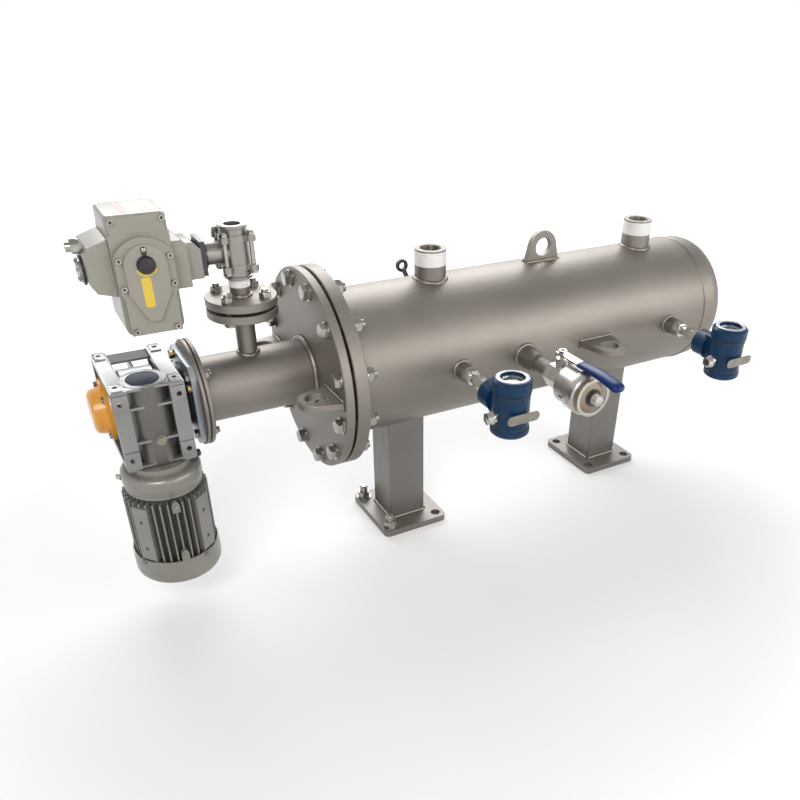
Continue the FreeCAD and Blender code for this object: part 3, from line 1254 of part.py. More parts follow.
# Two pressure transmitters on the front of the vessel
def make_transmitters():
    for name, reach in (("inlet", size.sensor_reach), ("outlet", far_sensor)):
        shell = size.shell_od / 2
        boss = cut(rod(size.boss_od, shell / 2 + size.boss_long, (reach, -shell / 2, AXIS), FRONT),
                   rod(SENSOR_PORT, shell, (reach, -shell / 2 + 2, AXIS), FRONT),
                   rod_x(size.shell_od, reach - 40, reach + 40))
        node(name + "_boss", boss)
        out = shell + size.boss_long
        neck_end = size.sensor_out - size.sensor_od / 2
        fitting = fuse(hexagon(27, 14, (reach, -out, AXIS), FRONT),
                       rod(20, 16, (reach, -out - 14, AXIS), FRONT),
                       hexagon(24, neck_end - 34 - out - 30, (reach, -out - 30, AXIS), FRONT))
        node(name + "_fitting", fitting)
        block = fuse(rod(52, 30, (reach, -neck_end + 34, AXIS - 4), FRONT),
                     slab((reach - 17, reach + 17), (-size.sensor_out, -neck_end + 10),
                          (AXIS - 26, AXIS + 22)))
        half = size.sensor_tall / 2
        cap, foot = size.sensor_cap, size.sensor_foot
        barrel = rod(size.sensor_od - 4, size.sensor_tall - cap - foot - 4,
                     (reach, -size.sensor_out, AXIS - half + foot + 2))
        node(name + "_housing", fuse(block, barrel))
        radius = size.sensor_od / 2
        low_cap = turned([(0, 0), (radius - 4, 0), (radius, 4), (radius, foot - 2),
                          (radius - 2, foot), (radius - 2, foot + 2), (0, foot + 2)],
                         (reach, -size.sensor_out, AXIS - half))
        node(name + "_rear_cap", low_cap)
        window = 46.0
        top_cap = turned([(window / 2, -2), (radius - 2, -2), (radius - 2, 0), (radius, 2),
                          (radius, cap - 4), (radius - 4, cap), (window / 2 + 3, cap),
                          (window / 2, cap - 3)],
                         (reach, -size.sensor_out, AXIS + half - cap))
        node(name + "_display_cap", top_cap)
        node(name + "_window", rod(window - 0.4, 5, (reach, -size.sensor_out, AXIS + half - 12)))
        base = -size.sensor_out
        room = rod(size.sensor_od - 4, size.sensor_tall, (reach, base, AXIS - half))
        plug = cut(fuse(rod(24, 12, (reach - radius + 8, base, AXIS - 16), BACK),
                        hexagon(20, 10, (reach - radius - 4, base, AXIS - 16), BACK)), room)
        node(name + "_plug", plug)
        tag = slab((reach - 12, reach + 42), (base - radius - 4, base - radius - 1.5),
                   (AXIS - 21, AXIS - 1))
        post = rod(8, 6, (reach + 4, base - radius + 4, AXIS - 11), FRONT)
        node(name + "_tag", cut(fuse(tag, post), room))


# Ball valve on the front of the vessel, its lever in line with the pipe while it is open
def make_sample_valve():
    reach = size.sample_reach
    shell = size.shell_od / 2
    boss = cut(rod(size.sample_boss_od, shell / 2 + size.sample_boss_long,
                   (reach, -shell / 2, AXIS), FRONT),
               rod(size.sample_bore, shell + 80, (reach, -shell / 2 + 2, AXIS), FRONT),
               rod_x(size.shell_od, reach - 40, reach + 40))
    node("sample_coupling", boss)
    out = shell + size.sample_boss_long
    pivot = size.sample_pivot
    body_low = pivot - size.sample_body_long / 2 - 2
    nipple = cut(rod(size.sample_pipe, body_low - out, (reach, -out, AXIS), FRONT),
                 rod(size.sample_bore, body_low - out + 2, (reach, -out + 1, AXIS), FRONT))
    node("sample_nipple", nipple)
    body = fuse(hexagon(size.sample_hex, size.sample_body_long, (reach, -body_low, AXIS), FRONT),
                rod(22, size.lever_rise - 8, (reach, -pivot, AXIS)))
    hollow = [ball(size.sample_ball + 2 * size.running_gap, (reach, -pivot, AXIS)),
              rod(size.sample_bore, size.sample_body_long + 16, (reach, -body_low + 5, AXIS), FRONT),
              rod(STEM_OD + 2 * size.shaft_gap, size.lever_rise, (reach, -pivot, AXIS))]
    node("sample_body", cut(body, *hollow))
    ball_shape = cut(ball(size.sample_ball, (reach, -pivot, AXIS)),
                     rod(size.sample_bore, 40, (reach, -pivot + 20, AXIS), FRONT))
    flat = AXIS + size.sample_ball / 2 - 2
    stem = rod(STEM_OD, size.lever_rise + 2 - (size.sample_ball / 2 - 2), (reach, -pivot, flat))
    node("sample_ball", cut(ball_shape, slab((reach - 15, reach + 15), (-pivot - 15, -pivot + 15),
                                             (flat, flat + 10))))
    node("sample_stem", stem)
    barrel_start = body_low + size.sample_body_long
    radius = size.sample_barrel_od / 2
    long = size.sample_barrel_long
    barrel = turned([(size.sample_bore / 2, 0), (radius * 2 / 3, 0), (radius - 3, 8),
                     (radius - 3, long - 22), (radius, long - 20), (radius, long - 4),
                     (radius - 3, long), (size.sample_bore / 2, long)],
                    (reach, -barrel_start, AXIS), FRONT)
    node("sample_barrel", barrel)
    face = barrel_start + long
    node("sample_end_disc", turned([(10.2, 0), (radius - 4, 0), (radius - 4, 2), (14, 11), (10.2, 11)],
                                   (reach, -face, AXIS), FRONT))
    node("sample_plug", fuse(rod(20, 18, (reach, -face, AXIS), FRONT),
                             rod(26, 5, (reach, -face - 11, AXIS), FRONT),
                             hexagon(17, 12, (reach, -face - 16, AXIS), FRONT)))
    make_lever(reach, pivot)


STEM_OD = 9.0


def make_lever(reach, pivot):
    z = AXIS + size.lever_rise
    half = 9.0
    end = size.lever_long
    strap = slab((reach - half, reach + half), (-pivot - end + 20, -pivot + 10), (z, z + 3))
    strap = cut(strap, rod(STEM_OD, 8, (reach, -pivot, z - 2)))
    node("sample_lever", strap)
    side, mid = size.grip_wide / 2, z + 1.5
    under = mid - size.grip_thick / 2
    grip = fuse(rod(size.grip_wide, size.grip_thick, (reach, -pivot - end + side, under)),
                slab((reach - side, reach + side), (-pivot - end + side, -pivot - 50),
                     (under, under + size.grip_thick)))
    slot = slab((reach - half, reach + half), (-pivot - end + 20, -pivot - 49), (z, z + 3))
    node("lever_grip", cut(grip, slot))
    node("lever_nut", hex_nut_at(STEM_OD, 5, (reach, -pivot, z + 3)))


def hex_nut_at(thread, height, at):
    return cut(hexagon(dim(thread) * 1.6, height, at),
               rod(thread, dim(height) + 2, (at[0], at[1], at[2] - 1)))


make_shell()
make_head()
make_main_flanges()
make_flush_tube()
make_nozzles()
make_lugs()
make_feet()
make_branch()
make_drain_valve()
make_actuator()
make_reducer()
make_motor()
make_inside()
make_transmitters()
make_sample_valve()

# Pieces that are kept as one group each
GROUPS = [
    ("gaskets", ["main_gasket", "branch_gasket", "drive_gasket"]),
    ("drive_flange", ["drive_flange", "adapter_plate"]),
    ("fasteners", ["flange_bolts", "drive_bolts", "branch_bolts"]),
    ("flange_nuts", ["flange_nuts", "flange_washers", "drive_nuts", "branch_nuts"]),
    ("drain_tie_bolts", ["drain_tie_bolts", "drain_tie_nuts"]),
    ("thread_wraps", ["inlet_thread_wrap", "outlet_thread_wrap", "nipple_wrap"]),
    ("lifting_lugs", ["top_lug", "side_lug_front", "side_lug_rear", "cover_lug_front",
                      "cover_lug_rear", "rear_eye"]),
    ("foot_plates", ["foot_plate_drive_end", "foot_plate_far_end"]),
    ("foot_posts", ["post_drive_end", "post_far_end"]),
    ("anchor_bolts", ["anchor_bolts", "anchor_washers"]),
    ("branch_pipe", ["branch_pipe", "branch_flange_lower"]),
    ("valve_nipple", ["valve_nipple", "branch_flange_upper"]),
    ("drain_caps", ["drain_cap_lower", "drain_cap_upper"]),
    ("drain_stem", ["drain_stem", "position_pointer"]),
    ("actuator_fittings", ["override_cap", "cable_gland", "actuator_screws", "lid_screws"]),
    ("reducer_plugs", ["worm_end_cap", "oil_plug", "output_cover_screws"]),
    ("fan_cover", ["fan_cover", "fan_cover_screws"]),
    ("screen_plates", ["tube_sheet", "screen_end_plate"]),
    ("bearings", ["worm_bearings", "scanner_bush", "chamber_bush", "shaft_seal"]),
    ("transmitter_fittings", ["inlet_boss", "inlet_fitting", "inlet_plug", "inlet_tag",
                              "outlet_boss", "outlet_fitting", "outlet_plug", "outlet_tag"]),
    ("transmitter_housings", ["inlet_housing", "outlet_housing"]),
    ("transmitter_caps", ["inlet_rear_cap", "inlet_display_cap", "outlet_rear_cap",
                          "outlet_display_cap"]),
    ("transmitter_windows", ["inlet_window", "outlet_window"]),
    ("sample_coupling", ["sample_coupling", "sample_nipple"]),
    ("sample_barrel", ["sample_barrel", "sample_end_disc", "sample_plug"]),
    ("sample_stem", ["sample_stem", "sample_ball"]),
    ("sample_lever", ["sample_lever", "lever_nut"]),
]
for label, names in GROUPS:
    together = group(*[nodes.pop(name) for name in names])
    node("flange_bolts" if label == "fasteners" else label, together)

doc.recompute()
for item in doc.Objects:
    if "Invalid" in item.State or "Error" in item.State:
        raise RuntimeError("%s (%s) failed: %s" % (item.Name, item.Label, item.State))
for label, item in nodes.items():
    if item.Shape.isNull() or not item.Shape.isValid() or not item.Shape.Solids:
        raise RuntimeError("%s has no valid solid" % label)

os.makedirs("parts", exist_ok=True)
for label, item in nodes.items():
    item.Shape.exportStep("parts/%s.step" % label)
    print("%-24s %2d solids %12.0f mm3" % (label, len(item.Shape.Solids), item.Shape.Volume))
print(len(nodes), "nodes")
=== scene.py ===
# %% [markdown]
# # A self cleaning filter
# The real object is a stainless steel vessel on two feet. A screen inside it catches dirt, a worm
# gear motor turns a suction pipe along the screen, and a motorised ball valve lets the dirt out.
# The exact shapes come from the construction model. This lesson gives them their finishes, rounds
# the castings as a foundry would, and adds welds, threads and other small things.

# %% Load the frame
import bpy
import bmesh
import json
import math
from mathutils import Matrix, Vector


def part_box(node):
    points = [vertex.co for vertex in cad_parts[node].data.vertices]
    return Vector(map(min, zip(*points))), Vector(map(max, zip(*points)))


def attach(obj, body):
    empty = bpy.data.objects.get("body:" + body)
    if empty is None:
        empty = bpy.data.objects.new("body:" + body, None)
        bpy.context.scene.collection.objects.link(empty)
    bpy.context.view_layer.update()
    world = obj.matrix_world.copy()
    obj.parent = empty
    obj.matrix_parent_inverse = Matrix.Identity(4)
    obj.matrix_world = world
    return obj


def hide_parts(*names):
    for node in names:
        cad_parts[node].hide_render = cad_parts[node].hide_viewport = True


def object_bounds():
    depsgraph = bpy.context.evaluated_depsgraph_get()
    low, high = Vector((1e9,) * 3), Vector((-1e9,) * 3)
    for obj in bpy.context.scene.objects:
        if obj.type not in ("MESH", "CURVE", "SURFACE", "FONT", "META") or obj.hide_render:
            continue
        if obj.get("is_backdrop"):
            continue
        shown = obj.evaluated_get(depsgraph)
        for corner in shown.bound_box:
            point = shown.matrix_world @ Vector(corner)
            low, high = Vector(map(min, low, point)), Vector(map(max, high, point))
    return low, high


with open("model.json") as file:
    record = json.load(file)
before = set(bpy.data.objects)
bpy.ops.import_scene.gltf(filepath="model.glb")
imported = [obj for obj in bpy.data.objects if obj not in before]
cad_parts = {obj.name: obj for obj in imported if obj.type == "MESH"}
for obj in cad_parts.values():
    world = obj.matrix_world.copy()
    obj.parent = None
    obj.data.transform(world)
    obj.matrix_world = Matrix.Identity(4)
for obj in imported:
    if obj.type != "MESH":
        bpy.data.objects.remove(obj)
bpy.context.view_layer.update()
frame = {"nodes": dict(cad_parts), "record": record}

# %% [markdown]
# ## Places that many pieces share
# Lengths are in metres. X runs along the vessel, from the drive to the dished head, the front looks
# along -Y, and Z points up. The origin lies on the floor under the middle of the drive end's foot.
# The places below are read from the construction model's own boxes, so that a weld, a film or a
# screw stays with its piece.

# %% Shared places
X, Y, Z = 0, 1, 2
LOW, HIGH = 0, 1


def edge(name, axis, end):
    """The lowest or highest point of a node along an axis, to a hundredth of a millimetre."""
    return round(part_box(name)[end][axis], 5)


def middle(name, axis):
    return round((edge(name, axis, LOW) + edge(name, axis, HIGH)) / 2, 5)


def half(name, axis):
    return round((edge(name, axis, HIGH) - edge(name, axis, LOW)) / 2, 5)


AXIS = middle("flush_tube", Z)
SHELL_R, TUBE_R = half("shell", Z), half("flush_tube", Z)
NOZZLES_X = [middle("inlet_nozzle", X), middle("outlet_nozzle", X)]
NOZZLE_R = half("inlet_nozzle", X)
BRANCH_X = middle("valve_nipple", X)
BRANCH_R = 0.01685
MOTOR_X, MOTOR_Y = middle("motor_frame", X), middle("motor_frame", Y)
SIDE_VALVE_X = middle("sample_barrel", X)
CAP_R = 0.035
TRANSMITTERS_X = [round(edge("transmitter_caps", X, LOW) + CAP_R, 5),
                  round(edge("transmitter_caps", X, HIGH) - CAP_R, 5)]
TRANSMITTERS_Y = middle("transmitter_caps", Y)
print("axis", AXIS, "shell", SHELL_R, "nozzles", NOZZLES_X, "transmitters", TRANSMITTERS_X)

# %% [markdown]
# ## Camera
# The camera stands in front of the drive end and looks down a little, and it is turned about its
# own axis by two degrees, as a camera held by hand is. A Track To constraint could aim it, but
# would keep it level, so its matrix is written out. The three directions below are its right, its
# up and its view. They become the matrix's columns, the view with its sign turned, because a camera
# looks along its own -Z. The lens is shifted, which slides the picture without turning the camera.

# %% Camera
CAMERA_PLACE = (-0.6460, -1.3008, 0.9879)
TURN_TILT_ROLL = (31.837, 33.446, 1.874)
FOCAL_LENGTH, SENSOR_WIDTH = 35.43, 36
SHIFT_X, SHIFT_Y = -0.0768, 0.1236
turn, tilt, roll = (math.radians(degrees) for degrees in TURN_TILT_ROLL)
ahead = Vector((math.sin(turn) * math.cos(tilt), math.cos(turn) * math.cos(tilt), -math.sin(tilt)))
level = Vector((math.cos(turn), -math.sin(turn), 0))
right = math.cos(roll) * level + math.sin(roll) * level.cross(ahead)
up = right.cross(ahead)
lens = bpy.data.cameras.new("camera")
lens.lens = FOCAL_LENGTH
lens.sensor_width = SENSOR_WIDTH
lens.shift_x = SHIFT_X
lens.shift_y = SHIFT_Y
lens.clip_start = 0.05
camera = bpy.data.objects.new("camera", lens)
camera.matrix_world = Matrix.Translation(CAMERA_PLACE) @ Matrix(
    (right, up, -ahead)).transposed().to_4x4()
bpy.context.scene.collection.objects.link(camera)
bpy.context.scene.camera = camera
print("camera looks along", [round(v, 3) for v in ahead])

# %% [markdown]
# ## Floor and air
# Steel shows what stands around it, so the surroundings are built with care. The floor is pale. The
# air is a white ring near the ground, as a studio's curved backdrop, and a dim ceiling above it, so
# that a round vessel shows bright and dark bands. Dull surfaces get a smaller share of the air's
# light, so that a colour renders about as it is written. The floor's own faint glow, stronger far
# away where no lamp reaches, is seen by the camera, off gloss and through clear plastic, and adds
# no light to dull surfaces.

# %% Sums in a node tree
def reckoned(tree, operation, *values):
    """The result of a Math node, whose values are numbers or other nodes' results."""
    node = tree.nodes.new("ShaderNodeMath")
    node.operation = operation
    for socket, value in zip(node.inputs, values):
        if isinstance(value, float):
            socket.default_value = value
        else:
            tree.links.new(value, socket)
    return node.outputs[0]


def seen_plainly(tree):
    """Gives 1 to a ray from the camera, off a glossy surface or through clear plastic."""
    path = tree.nodes.new("ShaderNodeLightPath")
    seen = path.outputs["Is Camera Ray"]
    for other in ("Is Glossy Ray", "Is Transmission Ray"):
        seen = reckoned(tree, "MAXIMUM", seen, path.outputs[other])
    return seen


print("two helpers for the trees of the floor, the air and the beads")

# %% Floor
NEAR, FAR = 0.8, 2.6
NEAR_GLOW, FAR_GLOW = 0.22, 0.95
floor_paint = bpy.data.materials.new("floor")
floor_paint.use_nodes = True
tree = floor_paint.node_tree
tree.nodes.clear()
matt = tree.nodes.new("ShaderNodeBsdfDiffuse")
matt.inputs["Color"].default_value = (0.66, 0.66, 0.66, 1)
glow = tree.nodes.new("ShaderNodeEmission")
place = tree.nodes.new("ShaderNodeTexCoord")
reach = tree.nodes.new("ShaderNodeVectorMath")
reach.operation = "LENGTH"
tree.links.new(place.outputs["Object"], reach.inputs[0])
rise = tree.nodes.new("ShaderNodeMapRange")
for socket, value in (("From Min", NEAR), ("From Max", FAR), ("To Min", NEAR_GLOW),
                      ("To Max", FAR_GLOW)):
    rise.inputs[socket].default_value = value
tree.links.new(reach.outputs["Value"], rise.inputs["Value"])
strength = reckoned(tree, "MULTIPLY", seen_plainly(tree), rise.outputs["Result"])
tree.links.new(strength, glow.inputs["Strength"])
pale = tree.nodes.new("ShaderNodeAddShader")
tree.links.new(matt.outputs[0], pale.inputs[0])
tree.links.new(glow.outputs[0], pale.inputs[1])
output = tree.nodes.new("ShaderNodeOutputMaterial")
tree.links.new(pale.outputs[0], output.inputs["Surface"])

floor_mesh = bpy.data.meshes.new("floor")
floor_mesh.from_pydata([(-9, -7, 0), (9, -7, 0), (9, 11, 0), (-9, 11, 0)], [], [(0, 1, 2, 3)])
floor = bpy.data.objects.new("floor", floor_mesh)
floor_mesh.materials.append(floor_paint)
bpy.context.scene.collection.objects.link(floor)
floor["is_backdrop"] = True
print("the floor's glow rises from", NEAR_GLOW, "to", FAR_GLOW)

# %% Air
DULL_SHARE = 0.62
RING_TOP, CEILING = 0.26, 0.86
world = bpy.data.worlds.new("air")
world.use_nodes = True
bpy.context.scene.world = world
tree = world.node_tree
tree.nodes.clear()
sky = tree.nodes.new("ShaderNodeTexCoord")
height = tree.nodes.new("ShaderNodeSeparateXYZ")
tree.links.new(sky.outputs["Generated"], height.inputs[0])
studio = tree.nodes.new("ShaderNodeValToRGB")
stops = studio.color_ramp.elements
stops[0].position, stops[0].color = RING_TOP, (1, 1, 1, 1)
stops[1].position, stops[1].color = 1.0, (0.50, 0.50, 0.50, 1)
ceiling = stops.new(CEILING)
ceiling.color = (0.55, 0.555, 0.565, 1)
tree.links.new(height.outputs["Z"], studio.inputs["Fac"])
air = tree.nodes.new("ShaderNodeBackground")
tree.links.new(studio.outputs["Color"], air.inputs["Color"])
dimmed = tree.nodes.new("ShaderNodeMapRange")
dimmed.inputs["To Min"].default_value = DULL_SHARE
tree.links.new(seen_plainly(tree), dimmed.inputs["Value"])
tree.links.new(dimmed.outputs["Result"], air.inputs["Strength"])
output = tree.nodes.new("ShaderNodeOutputWorld")
tree.links.new(air.outputs[0], output.inputs["Surface"])
print("air stops at", [round(stop.position, 2) for stop in stops])

# %% [markdown]
# ## Lamps
# Three wide lamps are enough. The key lamp stands near the camera, the long top lamp runs a bright
# line along the vessel from behind, and the side lamp fills the dished head's end. Small lamps
# would leave hard specks on steel, so each is a wide rectangle, whose reflection is a soft band.

# %% Lamps
def soft_lamp(name, place, aim, size, power, tint):
    """A rectangle of light, in metres and watts, that faces its aim."""
    lamp = bpy.data.lights.new(name, "AREA")
    lamp.shape = "RECTANGLE"
    lamp.size, lamp.size_y = size
    lamp.energy = power
    lamp.color = tint
    obj = bpy.data.objects.new(name, lamp)
    way = Vector(aim) - Vector(place)
    obj.matrix_world = Matrix.Translation(place) @ way.to_track_quat("-Z", "Y").to_matrix().to_4x4()
    bpy.context.scene.collection.objects.link(obj)
    print(name, "lamp of", power, "W")


soft_lamp("key", (-1.3, -1.6, 1.9), (0, 0, 0.4), (1.1, 0.8), 27, (1, 0.98, 0.95))
soft_lamp("top", (0.6, 1.6, 1.7), (0.1, 0, 0.4), (2.8, 1.1), 54, (0.97, 0.985, 1))
soft_lamp("side", (1.4, -1.9, 1.15), (0.2, 0, 0.4), (2.2, 0.8), 24, (1, 0.985, 0.96))
bpy.context.scene.view_settings.view_transform = "Standard"

# %% [markdown]
# ## Finishes
# Every finish has one recipe: a base colour that drifts a little from place to place, a roughness
# that drifts with it, and a fine bump whose grain suits the surface. Blasted steel has a sugary
# grain, turned steel has fine rings, and paint has a soft orange peel. Picture maps could show the
# same, but noise needs no picture and no unwrapped surface. It is read from Object coordinates, so
# it stays on the piece whichever way the camera looks.

# %% Noise and mottled colour
SPECK, LIFT = 2.2, 1.1


def noise(nodes, links, where, scale, detail):
    made = nodes.new("ShaderNodeTexNoise")
    made.inputs["Scale"].default_value = scale
    made.inputs["Detail"].default_value = detail
    links.new(where, made.inputs["Vector"])
    return made.outputs["Fac"]


def multiplied(nodes, links, colour, share):
    """A Mix node that darkens or lifts a colour, by a share from 0 to 1."""
    mix = nodes.new("ShaderNodeMixRGB")
    mix.blend_type = "MULTIPLY"
    mix.inputs["Fac"].default_value = share
    links.new(colour, mix.inputs["Color1"])
    return mix


def mottled(nodes, links, cloud, fine, colour, drift):
    """A colour that drifts with the broad noise and is specked by the fine one.

    The fine noise darkens the colour, so the colour is lifted by about as much afterwards.
    """
    ramp = nodes.new("ShaderNodeValToRGB")
    dark, light = ramp.color_ramp.elements
    dark.position, light.position = 0.3, 0.7
    dark.color = [c * (1 - drift) for c in colour] + [1]
    light.color = [min(1, c * (1 + drift)) for c in colour] + [1]
    links.new(cloud, ramp.inputs["Fac"])
    speck = multiplied(nodes, links, ramp.outputs["Color"], min(1.0, SPECK * drift))
    links.new(fine, speck.inputs["Color2"])
    lift = multiplied(nodes, links, speck.outputs["Color"], 1.0)
    lift.inputs["Color2"].default_value = [1 + LIFT * drift] * 3 + [1]
    return lift.outputs["Color"]


print("a drift of 0.1 lifts a colour by", round(LIFT * 0.1, 2))

# %% One recipe for all finishes
ROUGH_SPREAD = 0.06
COAT_ROUGHNESS = 0.12
DENT_DEPTH = 0.0006


def finish(name, colour, rough, metal=0.0, grain=900, bump=0.05, drift=0.12, patch=9.0,
           stretch=(1, 1, 1), coat=0.0, shine=0.5):
    """Grain and patch are the scales of the fine and the broad noise."""
    paint = bpy.data.materials.new(name)
    paint.use_nodes = True
    nodes, links = paint.node_tree.nodes, paint.node_tree.links
    shader = nodes["Principled BSDF"]
    shader.inputs["Metallic"].default_value = metal
    shader.inputs["Specular IOR Level"].default_value = shine
    shader.inputs["Coat Weight"].default_value = coat
    shader.inputs["Coat Roughness"].default_value = COAT_ROUGHNESS
    place = nodes.new("ShaderNodeTexCoord")
    scale = nodes.new("ShaderNodeMapping")
    scale.inputs["Scale"].default_value = stretch
    links.new(place.outputs["Object"], scale.inputs["Vector"])
    cloud = noise(nodes, links, scale.outputs[0], patch, 4)
    fine = noise(nodes, links, scale.outputs[0], grain, 2)
    links.new(mottled(nodes, links, cloud, fine, colour, drift), shader.inputs["Base Color"])
    gloss = nodes.new("ShaderNodeMapRange")
    gloss.inputs["To Min"].default_value = max(0.02, rough - ROUGH_SPREAD)
    gloss.inputs["To Max"].default_value = min(1.0, rough + ROUGH_SPREAD)
    links.new(cloud, gloss.inputs["Value"])
    links.new(gloss.outputs[0], shader.inputs["Roughness"])
    dents = nodes.new("ShaderNodeBump")
    dents.inputs["Strength"].default_value = bump
    dents.inputs["Distance"].default_value = DENT_DEPTH
    links.new(fine, dents.inputs["Height"])
    links.new(dents.outputs["Normal"], shader.inputs["Normal"])
    return paint


print("a bump of 1 would be", round(DENT_DEPTH * 1000, 2), "mm deep")

# %% The finishes of this object
# Each line gives a colour, a roughness, a share of metal, a grain, a bump, a drift and a patch size.
# Where a value is left out, the recipe's own holds.
BLASTED_STEEL = finish("blasted_steel", (0.248, 0.226, 0.202), 0.49, 0.9, 1100, 0.3, 0.1, 7)
POST_STEEL = finish("post_steel", (0.215, 0.20, 0.184), 0.42, 0.84, 1300, 0.22, 0.09, 7)
WELD_STEEL = finish("weld_steel", (0.24, 0.215, 0.19), 0.36, 0.88, 900, 0.2, 0.1, 30)
BRIGHT_STEEL = finish("bright_steel", (0.50, 0.485, 0.46), 0.22, 0.95, 500, 0.06, 0.06, 25)
CAST_STEEL = finish("cast_steel", (0.29, 0.275, 0.255), 0.34, 0.85, 900, 0.3, 0.1, 18)
ZINC = finish("zinc", (0.35, 0.335, 0.305), 0.21, 0.9, 600, 0.08, 0.12, 60)
GOLD_ZINC = finish("gold_zinc", (0.72, 0.52, 0.20), 0.32, 0.9, 600, 0.08, 0.15, 60)
BLACK_RUBBER = finish("black_rubber", (0.012, 0.012, 0.012), 0.6, 0.0, 900, 0.1, 0.2)
WHITE_TAPE = finish("white_tape", (0.80, 0.79, 0.76), 0.3, 0.0, 260, 0.25, 0.05, 60,
                    (1, 1, 3), coat=0.4)
ACTUATOR_PAINT = finish("actuator_paint", (0.275, 0.26, 0.222), 0.36, 0.0, 420, 0.16, 0.05, 12,
                        coat=0.15)
GEAR_ALLOY = finish("gear_alloy", (0.27, 0.27, 0.265), 0.34, 0.72, 800, 0.22, 0.09, 14)
# Painted shade: a darker copy of the gear alloy, for the worm case between the foot frames.
SHADED_ALLOY = finish("shaded_gear_alloy", (0.15, 0.142, 0.13), 0.36, 0.72, 800, 0.25, 0.12, 14)
MOTOR_PAINT = finish("motor_paint", (0.25, 0.24, 0.215), 0.34, 0.45, 600, 0.2, 0.08, 14, coat=0.1)
DARK_PAINT = finish("dark_paint", (0.028, 0.034, 0.045), 0.34, 0.2, 500, 0.14, 0.2, 20, coat=0.3)
ORANGE_CAP = finish("orange_cap", (0.72, 0.31, 0.025), 0.34, 0.0, 500, 0.08, 0.05, 20, coat=0.3)
BLACK_CAP = finish("black_cap", (0.012, 0.012, 0.014), 0.4, 0.0, 800, 0.1, 0.2, 30)
BLUE_PAINT = finish("blue_paint", (0.006, 0.033, 0.082), 0.3, 0.0, 450, 0.16, 0.12, 25,
                    coat=0.06, shine=0.2)
BLUE_VINYL = finish("blue_vinyl", (0.004, 0.021, 0.11), 0.34, 0.0, 700, 0.1, 0.1, 30,
                    coat=0.05, shine=0.2)
YELLOW_FILM = finish("yellow_film", (0.66, 0.47, 0.05), 0.35, 0.0, 600, 0.04, 0.04, 40, coat=0.2)
PALE_FILM = finish("pale_film", (0.46, 0.40, 0.20), 0.35, 0.0, 600, 0.04, 0.04, 40, coat=0.2)
TAN_DISC = finish("tan_disc", (0.30, 0.245, 0.19), 0.35, 0.8, 500, 0.1, 0.08, 30)
DARK_STEEL = finish("dark_steel", (0.09, 0.082, 0.072), 0.4, 0.85, 700, 0.2, 0.15, 30)
PLATE_PAINT = finish("plate_paint", (0.30, 0.32, 0.35), 0.34, 0.35, 500, 0.14, 0.08, 20,
                     coat=0.2)
# Painted shade: a near black finish for the motor's fin slots and the reducer's rear web.
PAINTED_SHADE = finish("painted_recess_shade", (0.045, 0.043, 0.038), 0.55, 0.2, 500, 0.2, 0.15, 30)
END_CAP_BLACK = finish("end_cap_black", (0.030, 0.038, 0.056), 0.55, 0.0, 500, 0.14, 0.2, 20,
                       shine=0.3)
TAG_STEEL = finish("tag_steel", (0.26, 0.24, 0.21), 0.4, 0.8, 300, 0.2, 0.18, 60)
PINK_FILM = finish("pink_film", (0.42, 0.11, 0.13), 0.35, 0.0, 600, 0.04, 0.04, 40, coat=0.2)
PANEL_BLACK = finish("panel_black", (0.02, 0.021, 0.025), 0.3, 0.0, 600, 0.05, 0.1, 30)
BEZEL = finish("bezel", (0.52, 0.53, 0.56), 0.28, 0.6, 500, 0.05, 0.06, 30)
SATIN_STEEL = finish("satin_steel", (0.50, 0.48, 0.45), 0.34, 0.92, 300, 0.12, 0.08, 20,
                     (1, 6, 1))
BRONZE = finish("bronze", (0.55, 0.38, 0.18), 0.35, 0.9, 500, 0.1, 0.1, 30)
SEAT_WHITE = finish("seat_white", (0.82, 0.82, 0.80), 0.5, 0.0, 500, 0.05, 0.04, 30)

CLEAR = bpy.data.materials.new("clear_window")
CLEAR.use_nodes = True
pane = CLEAR.node_tree.nodes["Principled BSDF"]
pane.inputs["Base Color"].default_value = (0.92, 0.95, 0.96, 1)
pane.inputs["Roughness"].default_value = 0.04
pane.inputs["Transmission Weight"].default_value = 0.92
pane.inputs["IOR"].default_value = 1.45
print("finishes:", len(bpy.data.materials))

# %% [markdown]
# ## Who wears what
# Each node of the construction model gets its finish. It could be set piece by piece, but one table
# shows at a glance which pieces share a finish. Nodes that hold unlike pieces, such as the
# actuator's fittings, are shown with one finish here and repainted further down.

# %% Finishes of the nodes
WEARS = {
    BLASTED_STEEL: ["shell", "dished_head", "body_flange", "cover_flange", "flush_tube",
                    "drive_flange", "inlet_nozzle", "outlet_nozzle", "lifting_lugs",
                    "branch_pipe", "valve_nipple", "sample_coupling", "seal_carrier"],
    POST_STEEL: ["foot_plates", "foot_posts"],
    ZINC: ["flange_bolts", "flange_nuts", "anchor_bolts", "drain_tie_bolts"],
    BLACK_RUBBER: ["gaskets"],
    WHITE_TAPE: ["thread_wraps"],
    CAST_STEEL: ["drain_caps", "drain_body", "filter_screen", "screen_plates",
                 "suction_scanner"],
    BRIGHT_STEEL: ["drain_ball", "drain_stem", "drive_shaft", "motor_shaft", "worm",
                   "transmitter_fittings", "sample_stem", "sample_lever"],
    SATIN_STEEL: ["sample_body", "sample_barrel"],
    SEAT_WHITE: ["drain_seats"],
    DARK_PAINT: ["mounting_plate", "output_flange"],
    ACTUATOR_PAINT: ["actuator_gear_case", "actuator_housing", "actuator_top_cover",
                     "actuator_side_cover", "actuator_end_cover"],
    BLACK_CAP: ["actuator_fittings", "reducer_plugs", "cooling_fan"],
    CLEAR: ["position_window", "transmitter_windows"],
    GEAR_ALLOY: ["reducer_housing"],
    ORANGE_CAP: ["output_cover"],
    BRONZE: ["worm_wheel", "bearings"],
    MOTOR_PAINT: ["motor_end_bell", "motor_frame", "terminal_box", "fan_cover"],
    BLUE_PAINT: ["transmitter_housings", "transmitter_caps"],
    BLUE_VINYL: ["lever_grip"],
}
